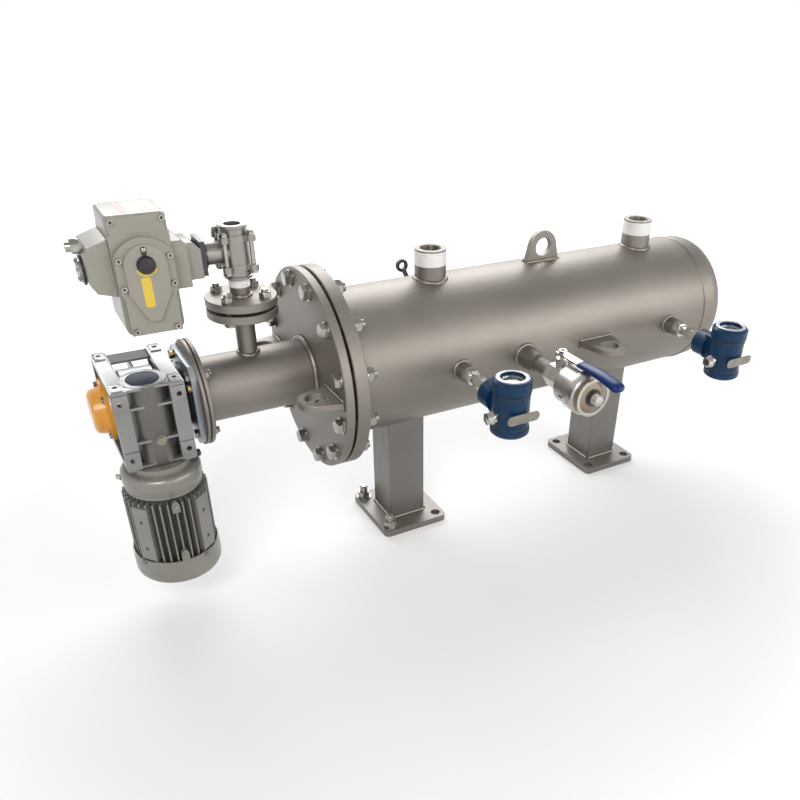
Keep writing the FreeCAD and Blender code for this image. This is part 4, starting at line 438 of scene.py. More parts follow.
BODY_OF = {name: body for body, names in frame["record"]["behaviour"]["bodies"].items()
           for name in names}
for paint, names in WEARS.items():
    for name in names:
        slots = frame["nodes"][name].data.materials
        slots.clear()
        slots.append(paint)
print("painted", sum(len(names) for names in WEARS.values()), "of", len(frame["nodes"]))

# %% [markdown]
# ## Rounded castings and painted pieces
# A casting or a pressed sheet has no knife edges: light runs along each edge as a thin bright line.
# A copy of the node is merged, its flat areas are joined to single faces, and a Bevel modifier
# rounds what is left. Where a node holds unlike pieces, such as a cover's bright screws beside a
# black knob, the copy's faces get a second finish wherever a patch's test says so.

# %% Helpers for every piece
def wear(obj, body):
    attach(obj, body)
    return obj


def smooth(mesh, degrees=35):
    mesh.polygons.foreach_set("use_smooth", [True] * len(mesh.polygons))
    mesh.set_sharp_from_angle(angle=math.radians(degrees))


def meshed(name, shape, degrees=35):
    """Turns a bmesh into a smooth mesh, with creases sharper than so many degrees."""
    mesh = bpy.data.meshes.new(name)
    shape.to_mesh(mesh)
    shape.free()
    smooth(mesh, degrees)
    return mesh


print("bodies:", sorted(set(BODY_OF.values())))

# %% Recast a node
FLAT_ANGLE, EDGE_ANGLE = 1.5, 38


def recast(name, width=0.0, patches=(), segments=2, without=None):
    """Stands for a node with its edges rounded; patches are pairs of a finish and a test.

    Faces that pass the test without are left out, because another piece stands there.
    """
    mesh = frame["nodes"][name].data.copy()
    mesh.name = name + "_recast"
    for number, (paint, test) in enumerate(patches, start=1):
        mesh.materials.append(paint)
        for face in mesh.polygons:
            if test(face.center):
                face.material_index = number
    if width:
        shape = bmesh.new()
        shape.from_mesh(mesh)
        bmesh.ops.remove_doubles(shape, verts=shape.verts, dist=1e-6)
        if without:
            gone = [face for face in shape.faces if without(face.calc_center_median())]
            bmesh.ops.delete(shape, geom=gone, context="FACES")
        bmesh.ops.dissolve_limit(shape, angle_limit=math.radians(FLAT_ANGLE),
                                 verts=shape.verts, edges=shape.edges, delimit={"MATERIAL"})
        shape.to_mesh(mesh)
        shape.free()
        smooth(mesh, 50)
    obj = bpy.data.objects.new(name + "_recast", mesh)
    bpy.context.scene.collection.objects.link(obj)
    if width:
        bevel = obj.modifiers.new("edge", "BEVEL")
        bevel.width = width
        bevel.segments = segments
        bevel.limit_method = "ANGLE"
        bevel.angle_limit = math.radians(EDGE_ANGLE)
    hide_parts(name)
    return wear(obj, BODY_OF[name])


def between(axis, low, high):
    """A test that is true between two places along an axis."""
    return lambda point: low <= point[axis] <= high


print("edges sharper than", EDGE_ANGLE, "degrees are rounded")

# %% Tests for the patches
def from_motor_axis(point):
    return math.hypot(point.x - MOTOR_X, point.y - MOTOR_Y)


def in_fin_slots(point):
    """The ground between the motor's fins, painted dark for the shade that falls there, with some
    dust.
    """
    return from_motor_axis(point) < 0.0615 and 0.122 < point.z < 0.252


def on_cowl_screw(point):
    return 0.1205 < point.z < 0.1295 and from_motor_axis(point) > 0.0735


def on_rear_web(point):
    """The web between the reducer's rear posts, painted dark as the shade that lies there."""
    return 0.4395 < point.z < 0.4410 and 0.030 < point.y < 0.070


def on_worm_case(point):
    """The upright round case between the foot frames, painted darker as shade."""
    return 0.0345 < from_motor_axis(point) < 0.0365 and 0.305 < point.z < 0.4445


def on_rear_eye(point):
    return 0.075 < point.x < 0.105 and 0.103 < point.y < 0.153 and point.z > 0.45


def is_tag(point):
    """The short tag plates, which longer ones with round ends stand for."""
    return point.y < -0.3315


print("the motor's axis lies in its fin slots:", in_fin_slots(Vector((MOTOR_X, MOTOR_Y, 0.2))))

# %% Which nodes, and how round
# Each line gives the width of the round edge and the patches with a finish of their own, and one
# adds the segments of its edge and the test of what is left out.
RECASTS = {
    "actuator_housing": (0.004, ()), "actuator_side_cover": (0.0018, ()),
    "actuator_end_cover": (0.006, ()), "actuator_gear_case": (0.004, ()),
    "mounting_plate": (0.001, ()),
    "actuator_fittings": (0.0008, ((ZINC, between(Y, -0.0621, -0.037)),
                                   (ZINC, between(X, -0.545, -0.5215)))),
    # Both of the reducer's patches paint shade, on its rear web and on its worm case.
    "reducer_housing": (0.0016, ((PAINTED_SHADE, on_rear_web), (SHADED_ALLOY, on_worm_case))),
    "reducer_plugs": (0.0006, ((END_CAP_BLACK, between(Z, 0.440, 0.448)),
                               (CAST_STEEL, between(Y, -0.108, -0.098)),
                               (ZINC, between(X, -0.547, -0.5405)))),
    "output_flange": (0.0012, ((PLATE_PAINT, between(X, -0.4092, -0.398)),)),
    # The fin slots get painted shade, with some dust.
    "motor_frame": (0.0, ((PAINTED_SHADE, in_fin_slots),)),
    "fan_cover": (0.0, ((ZINC, on_cowl_screw),)),
    "terminal_box": (0.004, ()),
    "transmitter_housings": (0.002, ()),
    "transmitter_fittings": (0.0006, ((BLASTED_STEEL, between(Y, -0.1626, -0.135)),), 1, is_tag),
    "sample_barrel": (0.0008, ((TAN_DISC, between(Y, -0.3451, -0.3341)),
                               (DARK_STEEL, between(Y, -0.3502, -0.3452)))),
    "foot_plates": (0.0015, ()), "foot_posts": (0.002, ()),
    "lifting_lugs": (0.0012, ((DARK_STEEL, on_rear_eye),)),
}
for name, choices in RECASTS.items():
    recast(name, *choices)
print("recast", len(RECASTS))

# %% [markdown]
# ## Weld beads
# The vessel is welded wherever a pipe, lug or foot meets it. A bead is a rope of metal with a
# ripple for each drop. A bump in the finish could draw it, but a bead stands out and catches the
# light. Its path is worked out from the two surfaces that meet, and a Geometry Nodes tree divides
# it into short steps and lays a round section along it, a little thicker and thinner by turns.

# %% Paths of the welds
def saddle(x, radius, shell, side="up", steps=72):
    """Where a round pipe meets a round shell that lies along X."""
    path = []
    for step in range(steps):
        angle = 2 * math.pi * step / steps
        along, across = radius * math.cos(angle), radius * math.sin(angle)
        out = math.sqrt(shell ** 2 - across ** 2)
        path.append((x + along, across, AXIS + out) if side == "up" else
                    (x + along, -out, AXIS + across))
    return path


def hoop(x, radius, steps=120):
    """A ring about the vessel's axis."""
    return [(x, radius * math.cos(2 * math.pi * s / steps),
             AXIS + radius * math.sin(2 * math.pi * s / steps)) for s in range(steps)]


def flat_hoop(x, z, radius, steps=64):
    """A ring about an upright pipe."""
    return [(x + radius * math.cos(2 * math.pi * s / steps),
             radius * math.sin(2 * math.pi * s / steps), z) for s in range(steps)]


def span(a, b, steps=24):
    a, b = Vector(a), Vector(b)
    return [tuple(a.lerp(b, s / steps)) for s in range(steps + 1)]


print("points of a saddle:", len(saddle(0, NOZZLE_R, SHELL_R)), "of a hoop:", len(hoop(0, TUBE_R)))

# %% Welds round the pipes and flanges
# Each weld is a path and the radius of its bead. A path runs just outside its pipe.
OUTSIDE = 0.00035
BOSS_R, COUPLING_R = 0.01685, 0.02185
COVER_FACE = edge("cover_flange", X, LOW)
BRANCH_FLANGES_Z = (AXIS + 0.1245, AXIS + 0.1585)
closed_welds = [(saddle(x, NOZZLE_R + OUTSIDE, SHELL_R), 0.0043) for x in NOZZLES_X]
closed_welds.append((saddle(BRANCH_X, BRANCH_R + OUTSIDE, TUBE_R), 0.0038))
closed_welds += [(saddle(x, BOSS_R + OUTSIDE, SHELL_R, "front"), 0.0035) for x in TRANSMITTERS_X]
closed_welds += [
    (saddle(SIDE_VALVE_X, COUPLING_R + OUTSIDE, SHELL_R, "front"), 0.0041),
    (hoop(COVER_FACE - 0.0027, TUBE_R + 0.0022), 0.0058),
    (hoop(edge("drive_flange", X, HIGH) + 0.0018, TUBE_R + 0.0016), 0.0045),
    (hoop(edge("body_flange", X, HIGH) + 0.0007, SHELL_R + 0.0010), 0.0049),
    (hoop(edge("dished_head", X, LOW), SHELL_R - 0.0009), 0.0032),
]
closed_welds += [(flat_hoop(BRANCH_X, z, BRANCH_R + OUTSIDE), 0.0032) for z in BRANCH_FLANGES_Z]
print("welds round pipes:", len(closed_welds))

# %% Welds along the feet and lugs
PLATE_HALF = 0.0725
FEET_X = [round(edge("foot_plates", X, LOW) + PLATE_HALF, 5),
          round(edge("foot_plates", X, HIGH) - PLATE_HALF, 5)]
POST_HALF = 0.040
POST_REACH, BESIDE_POST = POST_HALF - 0.001, POST_HALF + 0.0005
PLATE_TOP = edge("foot_plates", Z, HIGH) + 0.0005
LUG_REACH, BESIDE_LUG = 0.041, 0.0065
TOP_LUG_X, SIDE_LUG_X, COVER_LUG_Y = 0.334, 0.388, 0.133
POST_BEAD, PLATE_BEAD, LUG_BEAD = 0.0041, 0.0038, 0.0032
open_welds = []


def straight_weld(a, b, bead):
    open_welds.append((span(a, b), bead))


def underside(y):
    """The height of the vessel's underside, so far beside its axis."""
    return AXIS - math.sqrt(SHELL_R ** 2 - y ** 2)


POST_TOP = underside(POST_HALF)
for x in FEET_X:
    for y in (-BESIDE_POST, BESIDE_POST):
        straight_weld((x - POST_REACH, y, POST_TOP), (x + POST_REACH, y, POST_TOP), POST_BEAD)
        bow = [POST_REACH * (step / 12 - 1) for step in range(25)]
        open_welds.append(([(x + y, across, underside(across)) for across in bow], POST_BEAD))
        straight_weld((x - POST_REACH, y, PLATE_TOP), (x + POST_REACH, y, PLATE_TOP), PLATE_BEAD)
        straight_weld((x + y, -POST_REACH, PLATE_TOP), (x + y, POST_REACH, PLATE_TOP), PLATE_BEAD)
for side in (-BESIDE_LUG, BESIDE_LUG):
    straight_weld((TOP_LUG_X - LUG_REACH, side, AXIS + SHELL_R),
                  (TOP_LUG_X + LUG_REACH, side, AXIS + SHELL_R), LUG_BEAD)
    for flank in (-1, 1):
        straight_weld((SIDE_LUG_X - LUG_REACH, flank * SHELL_R, AXIS + side),
                      (SIDE_LUG_X + LUG_REACH, flank * SHELL_R, AXIS + side), LUG_BEAD)
        straight_weld((COVER_FACE - 0.0007, flank * (COVER_LUG_Y - LUG_REACH), AXIS + side),
                      (COVER_FACE - 0.0007, flank * (COVER_LUG_Y + LUG_REACH), AXIS + side),
                      LUG_BEAD)
print("welds along feet and lugs:", len(open_welds))

# %% How every tree starts and ends
def fresh_tree(name, *sizes):
    """A node tree with named sizes and a finish among its inputs."""
    tree = bpy.data.node_groups.new(name, "GeometryNodeTree")
    ports = tree.interface
    ports.new_socket("Geometry", in_out="INPUT", socket_type="NodeSocketGeometry")
    for size in sizes:
        ports.new_socket(size, in_out="INPUT", socket_type="NodeSocketFloat")
    ports.new_socket("Finish", in_out="INPUT", socket_type="NodeSocketMaterial")
    ports.new_socket("Geometry", in_out="OUTPUT", socket_type="NodeSocketGeometry")
    return tree, tree.nodes.new("NodeGroupInput")


def paint_and_end(tree, start, made):
    """Ends a tree: what was made becomes real geometry and gets its finish."""
    real = tree.nodes.new("GeometryNodeRealizeInstances")
    paint = tree.nodes.new("GeometryNodeSetMaterial")
    end = tree.nodes.new("NodeGroupOutput")
    tree.links.new(made, real.inputs["Geometry"])
    tree.links.new(real.outputs[0], paint.inputs["Geometry"])
    tree.links.new(start.outputs["Finish"], paint.inputs["Material"])
    tree.links.new(paint.outputs[0], end.inputs["Geometry"])
    return tree


print("a tree takes named sizes and a finish, and ends as painted real geometry")

# %% A tree that lays a bead along a path
STEP_LENGTH = 0.0008
RIPPLE, STEPS_PER_RIPPLE = 0.02, 6


def bead_tree():
    """Lays a round section along a path, as thick as the path's bead attribute says."""
    tree, start = fresh_tree("weld_bead", "Step length")
    nodes, links = tree.nodes, tree.links
    curve = nodes.new("GeometryNodeMeshToCurve")
    even = nodes.new("GeometryNodeResampleCurve")
    even.mode = "LENGTH"
    thick = nodes.new("GeometryNodeInputNamedAttribute")
    thick.data_type = "FLOAT"
    thick.inputs["Name"].default_value = "bead"
    count = nodes.new("GeometryNodeInputIndex")
    angle = reckoned(tree, "MULTIPLY", count.outputs[0], 2 * math.pi / STEPS_PER_RIPPLE)
    ripple = reckoned(tree, "MULTIPLY_ADD", reckoned(tree, "SINE", angle), RIPPLE, 1.0)
    size = reckoned(tree, "MULTIPLY", thick.outputs["Attribute"], ripple)
    swell = nodes.new("GeometryNodeSetCurveRadius")
    section = nodes.new("GeometryNodeCurvePrimitiveCircle")
    section.inputs["Resolution"].default_value = 8
    section.inputs["Radius"].default_value = 1.0
    rope = nodes.new("GeometryNodeCurveToMesh")
    rope.inputs["Fill Caps"].default_value = True
    soft = nodes.new("GeometryNodeSetShadeSmooth")
    links.new(start.outputs["Geometry"], curve.inputs["Mesh"])
    links.new(curve.outputs[0], even.inputs["Curve"])
    links.new(start.outputs["Step length"], even.inputs["Length"])
    links.new(even.outputs[0], swell.inputs["Curve"])
    links.new(size, swell.inputs["Radius"])
    links.new(swell.outputs[0], rope.inputs["Curve"])
    links.new(section.outputs[0], rope.inputs["Profile Curve"])
    if "Scale" in rope.inputs:
        radius = nodes.new("GeometryNodeInputRadius")
        links.new(radius.outputs[0], rope.inputs["Scale"])
    links.new(rope.outputs[0], soft.inputs["Geometry"])
    return paint_and_end(tree, start, soft.outputs[0])


print("one ripple every", round(STEP_LENGTH * STEPS_PER_RIPPLE * 1000, 2), "mm")

# %% Grow a tree on a carrier
def socket_of(tree, name):
    """A modifier's inputs go by the socket's identifier, not by its name."""
    return next(item.identifier for item in tree.interface.items_tree if item.name == name
                and item.item_type == "SOCKET" and item.in_out == "INPUT")


def grown(name, carrier_mesh, tree, inputs, body):
    """Runs a tree on a mesh of points or edges and keeps the result as a plain mesh."""
    carrier = bpy.data.objects.new(name + "_carrier", carrier_mesh)
    bpy.context.scene.collection.objects.link(carrier)
    modifier = carrier.modifiers.new("grow", "NODES")
    modifier.node_group = tree
    for label, value in inputs.items():
        modifier[socket_of(tree, label)] = value
    graph = bpy.context.evaluated_depsgraph_get()
    mesh = bpy.data.meshes.new_from_object(carrier.evaluated_get(graph))
    mesh.name = name
    carrier.modifiers.remove(modifier)
    bpy.data.objects.remove(carrier)
    obj = bpy.data.objects.new(name, mesh)
    bpy.context.scene.collection.objects.link(obj)
    print(name, len(mesh.polygons), "faces")
    return wear(obj, body)


# %% Lay the beads
def path_mesh(paths_closed, paths_open):
    verts, edges, sizes = [], [], []
    for group, is_closed in ((paths_closed, True), (paths_open, False)):
        for path, thick in group:
            first = len(verts)
            verts += path
            sizes += [thick] * len(path)
            edges += [(first + i, first + i + 1) for i in range(len(path) - 1)]
            if is_closed:
                edges.append((first + len(path) - 1, first))
    mesh = bpy.data.meshes.new("weld_paths")
    mesh.from_pydata(verts, edges, [])
    attribute = mesh.attributes.new("bead", "FLOAT", "POINT")
    attribute.data.foreach_set("value", sizes)
    return mesh


grown("weld_beads", path_mesh(closed_welds, open_welds), bead_tree(),
      {"Step length": STEP_LENGTH, "Finish": WELD_STEEL}, "vessel")

# %% [markdown]
# ## Small turned pieces
# Screw heads, plugs, discs and rings are turned. A profile of radius and height is spun about an
# axis, as it would be on a lathe. A Screw modifier could spin it too, but points that are worked
# out here lie in their place at once and leave no modifier to apply. The mesh is closed at its
# poles and its faces point outwards. A ring's profile ends where it starts, so that it has no
# poles.

# %% A lathe
TO_FRONT, TO_TOP, TO_DRIVE, TO_HEAD = (0, -1, 0), (0, 0, 1), (-1, 0, 0), (1, 0, 0)


def turned_mesh(name, profile, place, axis, steps=64):
    """Profile of (radius, height), from the bottom pole to the top pole, in metres."""
    shape = bmesh.new()
    rings = []
    for radius, height in profile:
        if radius < 1e-7:
            rings.append([shape.verts.new((0, 0, height))])
        else:
            rings.append([shape.verts.new((radius * math.cos(2 * math.pi * s / steps),
                                           radius * math.sin(2 * math.pi * s / steps), height))
                          for s in range(steps)])
    for lower, upper in zip(rings, rings[1:]):
        for s in range(steps):
            after = (s + 1) % steps
            if len(lower) == 1 and len(upper) > 1:
                shape.faces.new((lower[0], upper[after], upper[s]))
            elif len(upper) == 1 and len(lower) > 1:
                shape.faces.new((lower[s], lower[after], upper[0]))
            elif len(lower) > 1:
                shape.faces.new((lower[s], lower[after], upper[after], upper[s]))
    bmesh.ops.recalc_face_normals(shape, faces=shape.faces)
    turn = Vector(axis).to_track_quat("Z", "Y").to_matrix().to_4x4()
    shape.transform(Matrix.Translation(place) @ turn)
    return meshed(name, shape)


def ring_mesh(name, profile, place, axis, steps=64):
    """A turned ring whose profile closes on itself."""
    return turned_mesh(name, profile + profile[:1], place, axis, steps)


def disc(radius, thick, bore=0):
    """The profile of a plain disc, or of a plain ring where it has a bore."""
    return [(bore, 0), (radius, 0), (radius, thick), (bore, thick)]


def piece(name, mesh, paint, body):
    mesh.materials.clear()
    mesh.materials.append(paint)
    obj = bpy.data.objects.new(name, mesh)
    bpy.context.scene.collection.objects.link(obj)
    return wear(obj, body)


print("a plain disc's profile:", disc(0.0078, 0.0012))

# %% [markdown]
# ## Thread wraps
# The threads of the nozzles and of the drain valve's nipple are wrapped with several turns of thin
# white film, so a plain ring looks wrong. A strip could be wound in a spiral, but only its folds
# show, so the turned profile below steps in and out where the turns overlap.

# %% Thread wraps
WRAP_TURNS, FOLD = 9, 0.0007


def wrap_profile(radius, low, high, turns, fold):
    """Two waves of unlike length set how far each fold stands out."""
    profile = [(radius, low)]
    for step in range(turns * 4 + 1):
        height = low + (high - low) * step / (turns * 4)
        out = fold * (0.55 + 0.45 * math.sin(step * 2.4) * math.cos(step * 0.9))
        profile.append((radius + 0.0002 + out, height))
    return profile + [(radius, high)]


wraps = bmesh.new()
WRAP_LOW, WRAP_HIGH = edge("thread_wraps", Z, LOW), edge("thread_wraps", Z, HIGH)
for x, radius, low, high in ((NOZZLES_X[0], NOZZLE_R, WRAP_LOW, WRAP_HIGH),
                             (NOZZLES_X[1], NOZZLE_R, WRAP_LOW, WRAP_HIGH),
                             (BRANCH_X, BRANCH_R, AXIS + 0.174, AXIS + 0.188)):
    profile = wrap_profile(radius, low, high, WRAP_TURNS, FOLD)
    wraps.from_mesh(turned_mesh("wrap", profile, (x, 0, 0), TO_TOP, 96))
wound = piece("wound_wraps", meshed("wound_wraps", wraps, 60), WHITE_TAPE, "vessel")
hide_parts("thread_wraps")
print("wraps:", len(wound.data.polygons), "faces")

# %% [markdown]
# ## Bolt threads
# A few turns of thread stand out of every nut, and a few lie inside the nozzles' mouths. A true
# spiral could be cut, but at this size nobody can tell it from a row of rings. One small ring is
# put on each turn's place by a tree that instances it on points, which is light and keeps all the
# threads alike.

# %% A tree that puts rings on points
def ring_tree(axis):
    """Puts a small ring on every point, upright about X or lying about Z."""
    tree, start = fresh_tree("thread_rings_" + axis, "Radius", "Ridge")
    nodes, links = tree.nodes, tree.links
    path = nodes.new("GeometryNodeCurvePrimitiveCircle")
    path.inputs["Resolution"].default_value = 28
    section = nodes.new("GeometryNodeCurvePrimitiveCircle")
    section.inputs["Resolution"].default_value = 4
    ring = nodes.new("GeometryNodeCurveToMesh")
    spots = nodes.new("GeometryNodeMeshToPoints")
    put = nodes.new("GeometryNodeInstanceOnPoints")
    if axis == "x":
        put.inputs["Rotation"].default_value = (0, math.pi / 2, 0)
    links.new(start.outputs["Radius"], path.inputs["Radius"])
    links.new(start.outputs["Ridge"], section.inputs["Radius"])
    links.new(path.outputs[0], ring.inputs["Curve"])
    links.new(section.outputs[0], ring.inputs["Profile Curve"])
    links.new(start.outputs["Geometry"], spots.inputs["Mesh"])
    links.new(spots.outputs[0], put.inputs["Points"])
    links.new(ring.outputs[0], put.inputs["Instance"])
    return paint_and_end(tree, start, put.outputs[0])


RINGS_X, RINGS_Z = ring_tree("x"), ring_tree("z")
print("trees:", RINGS_X.name, RINGS_Z.name)

# %% Threads past the nuts
RIDGE = 0.0006
MAIN_CIRCLE, DRIVE_CIRCLE, BRANCH_CIRCLE = 0.330, 0.150, 0.090
MAIN_END, DRIVE_END, BRANCH_END, MOUTH = -0.1245, -0.3758, AXIS + 0.1685, AXIS + 0.1900
STUD_X, STUD_Y, STUD_END = -0.055, 0.065, 0.0318


def on_ring(diameter, count, first):
    """Places on a bolt circle, the first at an angle in degrees."""
    return [(diameter / 2 * math.cos(math.radians(first + 360 * n / count)),
             diameter / 2 * math.sin(math.radians(first + 360 * n / count))) for n in range(count)]


def turns(first, pitch, count):
    """Places of a thread's turns along its bolt."""
    return [first + pitch * number for number in range(count)]


def point_mesh(points):
    mesh = bpy.data.meshes.new("points")
    mesh.from_pydata(points, [], [])
    return mesh


main_turns = [(x, y, AXIS + z) for y, z in on_ring(MAIN_CIRCLE, 12, 15)
              for x in turns(MAIN_END, 0.0018, 3)]
drive_turns = [(x, y, AXIS + z) for y, z in on_ring(DRIVE_CIRCLE, 4, 45)
               for x in turns(DRIVE_END, 0.0014, 3)]
branch_turns = [(BRANCH_X + x, y, z) for x, y in on_ring(BRANCH_CIRCLE, 4, 45)
                for z in turns(BRANCH_END, 0.0016, 3)]
mouth_turns = [(x, 0, z) for x in NOZZLES_X for z in turns(MOUTH, -0.0023, 6)]
stud_turns = [(STUD_X, y, z) for y in (-STUD_Y, STUD_Y) for z in turns(STUD_END, 0.0022, 4)]
for name, points, radius, tree in (("main_threads", main_turns, 0.008, RINGS_X),
                                   ("drive_threads", drive_turns, 0.005, RINGS_X),
                                   ("branch_threads", branch_turns, 0.006, RINGS_Z),
                                   ("mouth_threads", mouth_turns, 0.0201, RINGS_Z),
                                   ("stud_threads", stud_turns, 0.008, RINGS_Z)):
    grown(name, point_mesh(points), tree, {"Radius": radius, "Ridge": RIDGE, "Finish": ZINC},
          "vessel")

# %% [markdown]
# ## Plates and strips
# Films, tags, straps and slots are thin flat pieces. An outline drawn in two directions is raised
# by a small thickness, which gives a closed plate wherever it is needed. A plane with a Solidify
# modifier could do the same, but would first have to be turned into its place. Rounded outlines
# come from arcs. Thicker pieces, such as the lid and the grip, are skins over several outlines.

# %% Outlines
def arc(radius, start, end, steps=12, about=(0, 0)):
    return [(about[0] + radius * math.cos(math.radians(start + (end - start) * s / steps)),
             about[1] + radius * math.sin(math.radians(start + (end - start) * s / steps)))
            for s in range(steps + 1)]


def pill(wide, tall, corner):
    """A rectangle with round corners about its own middle."""
    across, high = wide / 2 - corner, tall / 2 - corner
    outline = []
    for number, (u, v) in enumerate(((across, high), (-across, high), (-across, -high),
                                     (across, -high))):
        outline += arc(corner, 90 * number, 90 * number + 90, 6, (u, v))
    return outline


print("points of a rounded outline:", len(pill(0.042, 0.066, 0.002)))

# %% Plates and skins
FACING_FRONT = ((1, 0, 0), (0, 0, 1))
FACING_UP = ((1, 0, 0), (0, 1, 0))


def plate_mesh(name, outline, place, across, upward, thick):
    """Raises an outline, drawn from a place in two directions, by a thickness."""
    across, upward, place = Vector(across), Vector(upward), Vector(place)
    out = across.cross(upward).normalized() * thick
    shape = bmesh.new()
    low = [shape.verts.new(place + across * u + upward * v) for u, v in outline]
    high = [shape.verts.new(vert.co + out) for vert in low]
    shape.faces.new(low[::-1])
    shape.faces.new(high)
    for here, after in zip(range(len(low)), [*range(1, len(low)), 0]):
        shape.faces.new((low[here], low[after], high[after], high[here]))
    bmesh.ops.remove_doubles(shape, verts=shape.verts, dist=1e-7)
    bmesh.ops.recalc_face_normals(shape, faces=shape.faces)
    return meshed(name, shape)


def joined(name, meshes):
    """Makes one mesh of several."""
    shape = bmesh.new()
    for mesh in meshes:
        shape.from_mesh(mesh)
        bpy.data.meshes.remove(mesh)
    return meshed(name, shape)


def stacked_mesh(name, outlines, degrees):
    """Skins closed outlines of equally many points, one above the other, with flat ends."""
    shape = bmesh.new()
    rings = [[shape.verts.new(point) for point in outline] for outline in outlines]
    count = len(rings[0])
    for lower, upper in zip(rings, rings[1:]):
        for here in range(count):
            after = (here + 1) % count
            shape.faces.new((lower[here], lower[after], upper[after], upper[here]))
    shape.faces.new(rings[0][::-1])
    shape.faces.new(rings[-1])
    bmesh.ops.recalc_face_normals(shape, faces=shape.faces)
    return meshed(name, shape, degrees)


def trim(name, meshes, paint, node):
    """A piece of several small meshes that rides with a node."""
    return piece(name, joined(name, meshes), paint, BODY_OF[node])


print("a plate lies in two directions, such as", FACING_FRONT)

# %% [markdown]
# ## The actuator's lid
# The lid is a pressure casting with generous corners and a soft upper edge. A Bevel modifier would
# round both alike, but the corners are rounder than the edge. So rounded rectangles are stacked,
# and the last ones step inwards along a quarter circle.

# %% Actuator lid
LID_CORNER, LID_EDGE = 0.010, 0.006
lid_low, lid_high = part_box("actuator_top_cover")
lid_x, lid_y = ((lid_low[axis] + lid_high[axis]) / 2 for axis in (X, Y))
lid_wide, lid_deep = (lid_high[axis] - lid_low[axis] for axis in (X, Y))
levels = [(0.0, lid_low[Z])]
for step in range(7):
    angle = math.pi / 2 * step / 6
    levels.append((LID_EDGE * (1 - math.cos(angle)),
                   lid_high[Z] - LID_EDGE + LID_EDGE * math.sin(angle)))
outlines = []
for inset, z in levels:
    outline = pill(lid_wide - 2 * inset, lid_deep - 2 * inset, LID_CORNER - inset * 0.8)
    outlines.append([(lid_x + u, lid_y + v, z) for u, v in outline])
lid = piece("cast_lid", stacked_mesh("cast_lid", outlines, 40), ACTUATOR_PAINT,
            BODY_OF["actuator_top_cover"])
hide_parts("actuator_top_cover")
print("lid spans", round(lid_wide, 4), round(lid_deep, 4), "with", len(levels), "levels")

# %% [markdown]
# ## The actuator's films, strap and screws
# The lid carries a pale film with a pink edge, and the side cover a narrow yellow strip and a
# yellow crescent under the black override cap. They are bare. A second finish on the cover could
# show them, but a thin plate has a clean outline and an edge of its own. A rubber strap joins the
# cap to a small screw above it, each cover screw has a dark hexagon socket, and a black ring holds
# the round position window.

# %% Films of the lid and the side cover
FILM = 0.0003
FILM_DEEP, FILM_CORNER = 0.066, 0.002
LID_TOP = edge("actuator_top_cover", Z, HIGH)
PANEL_Y = edge("actuator_side_cover", Y, LOW)
KNOB = (-0.442, PANEL_Y, 0.620)
trim("lid_film", [plate_mesh("film", pill(0.042, FILM_DEEP, FILM_CORNER), (-0.428, 0, LID_TOP),
                             *FACING_UP, FILM)], PALE_FILM, "actuator_top_cover")
trim("lid_band", [plate_mesh("band", pill(0.0095, FILM_DEEP, FILM_CORNER), (-0.4545, 0, LID_TOP),
                             *FACING_UP, FILM)], PINK_FILM, "actuator_top_cover")
crescent = arc(0.0175, 205, 335, 24) + arc(0.0128, 335, 205, 24)
trim("cover_films", [
    plate_mesh("strip", pill(0.0145, 0.046, 0.004), (KNOB[X] - 0.004, PANEL_Y, 0.5785),
               *FACING_FRONT, 0.0004),
    plate_mesh("crescent", crescent, KNOB, *FACING_FRONT, 0.0004)],
    YELLOW_FILM, "actuator_side_cover")
print("lid top", LID_TOP, "cover face", PANEL_Y)

# %% Strap, screws and window ring
STRAP_RISE = 0.0225
strap = arc(0.0042, 0, 180, 10, (0, STRAP_RISE)) + [(-0.0026, 0.011), (0.0026, 0.011)]
CAP_RIM = [(0, 0), (0.0138, 0), (0.0138, 0.0022), (0.0128, 0.0030), (0, 0.0030)]
trim("override_strap", [plate_mesh("strap", strap, KNOB, *FACING_FRONT, 0.0012),
                        turned_mesh("cap_rim", CAP_RIM, KNOB, TO_FRONT, 48)],
     BLACK_CAP, "actuator_fittings")
HEAD = [(0, 0), (0.0032, 0), (0.0034, 0.0008), (0.0032, 0.0022), (0.0022, 0.0028),
        (0.0016, 0.0028), (0.0014, 0.0016), (0, 0.0016)]
trim("strap_screw", [turned_mesh("head", HEAD, (KNOB[X], PANEL_Y - 0.0010, KNOB[Z] + STRAP_RISE),
                                 TO_FRONT, 20)], ZINC, "actuator_fittings")
COVER_SCREWS = [(-0.479, 0.629), (-0.479, 0.587), (-0.473, 0.519), (-0.405, 0.629),
                (-0.405, 0.587), (-0.411, 0.519)]
# Painted shade: a thin black hexagon stands for the shade inside each screw's socket.
HEXAGON = disc(0.0021, 0.0004)
hexagons = [turned_mesh("socket", HEXAGON, (x, PANEL_Y, z), TO_FRONT, 6) for x, z in COVER_SCREWS]
hexagons += [turned_mesh("socket", HEXAGON, (x, -0.0510, 0.682), TO_FRONT, 6)
             for x in (-0.478, -0.406)]
trim("screw_sockets", hexagons, PANEL_BLACK, "actuator_fittings")
WINDOW_RING = [(0.0190, 0), (0.0232, 0), (0.0232, 0.0030), (0.0222, 0.0038), (0.0196, 0.0038),
               (0.0190, 0.0030)]
trim("window_ring", [ring_mesh("ring", WINDOW_RING, (-0.522, 0, 0.607), TO_DRIVE)], BLACK_CAP,
     "position_window")
print("cover screws:", len(COVER_SCREWS))

# %% [markdown]
# ## Reducer and motor trim
# The oil plug has a tan middle, gold coloured bolts hold the neck, and a black plug closes the
# corner port. Two small lugs, each with a screw, clamp the motor's front, and a bright acorn bolt
# stands at the bell's left. They are small, but a casting without its fasteners looks like a toy,
# so each is turned or raised by the helpers above.

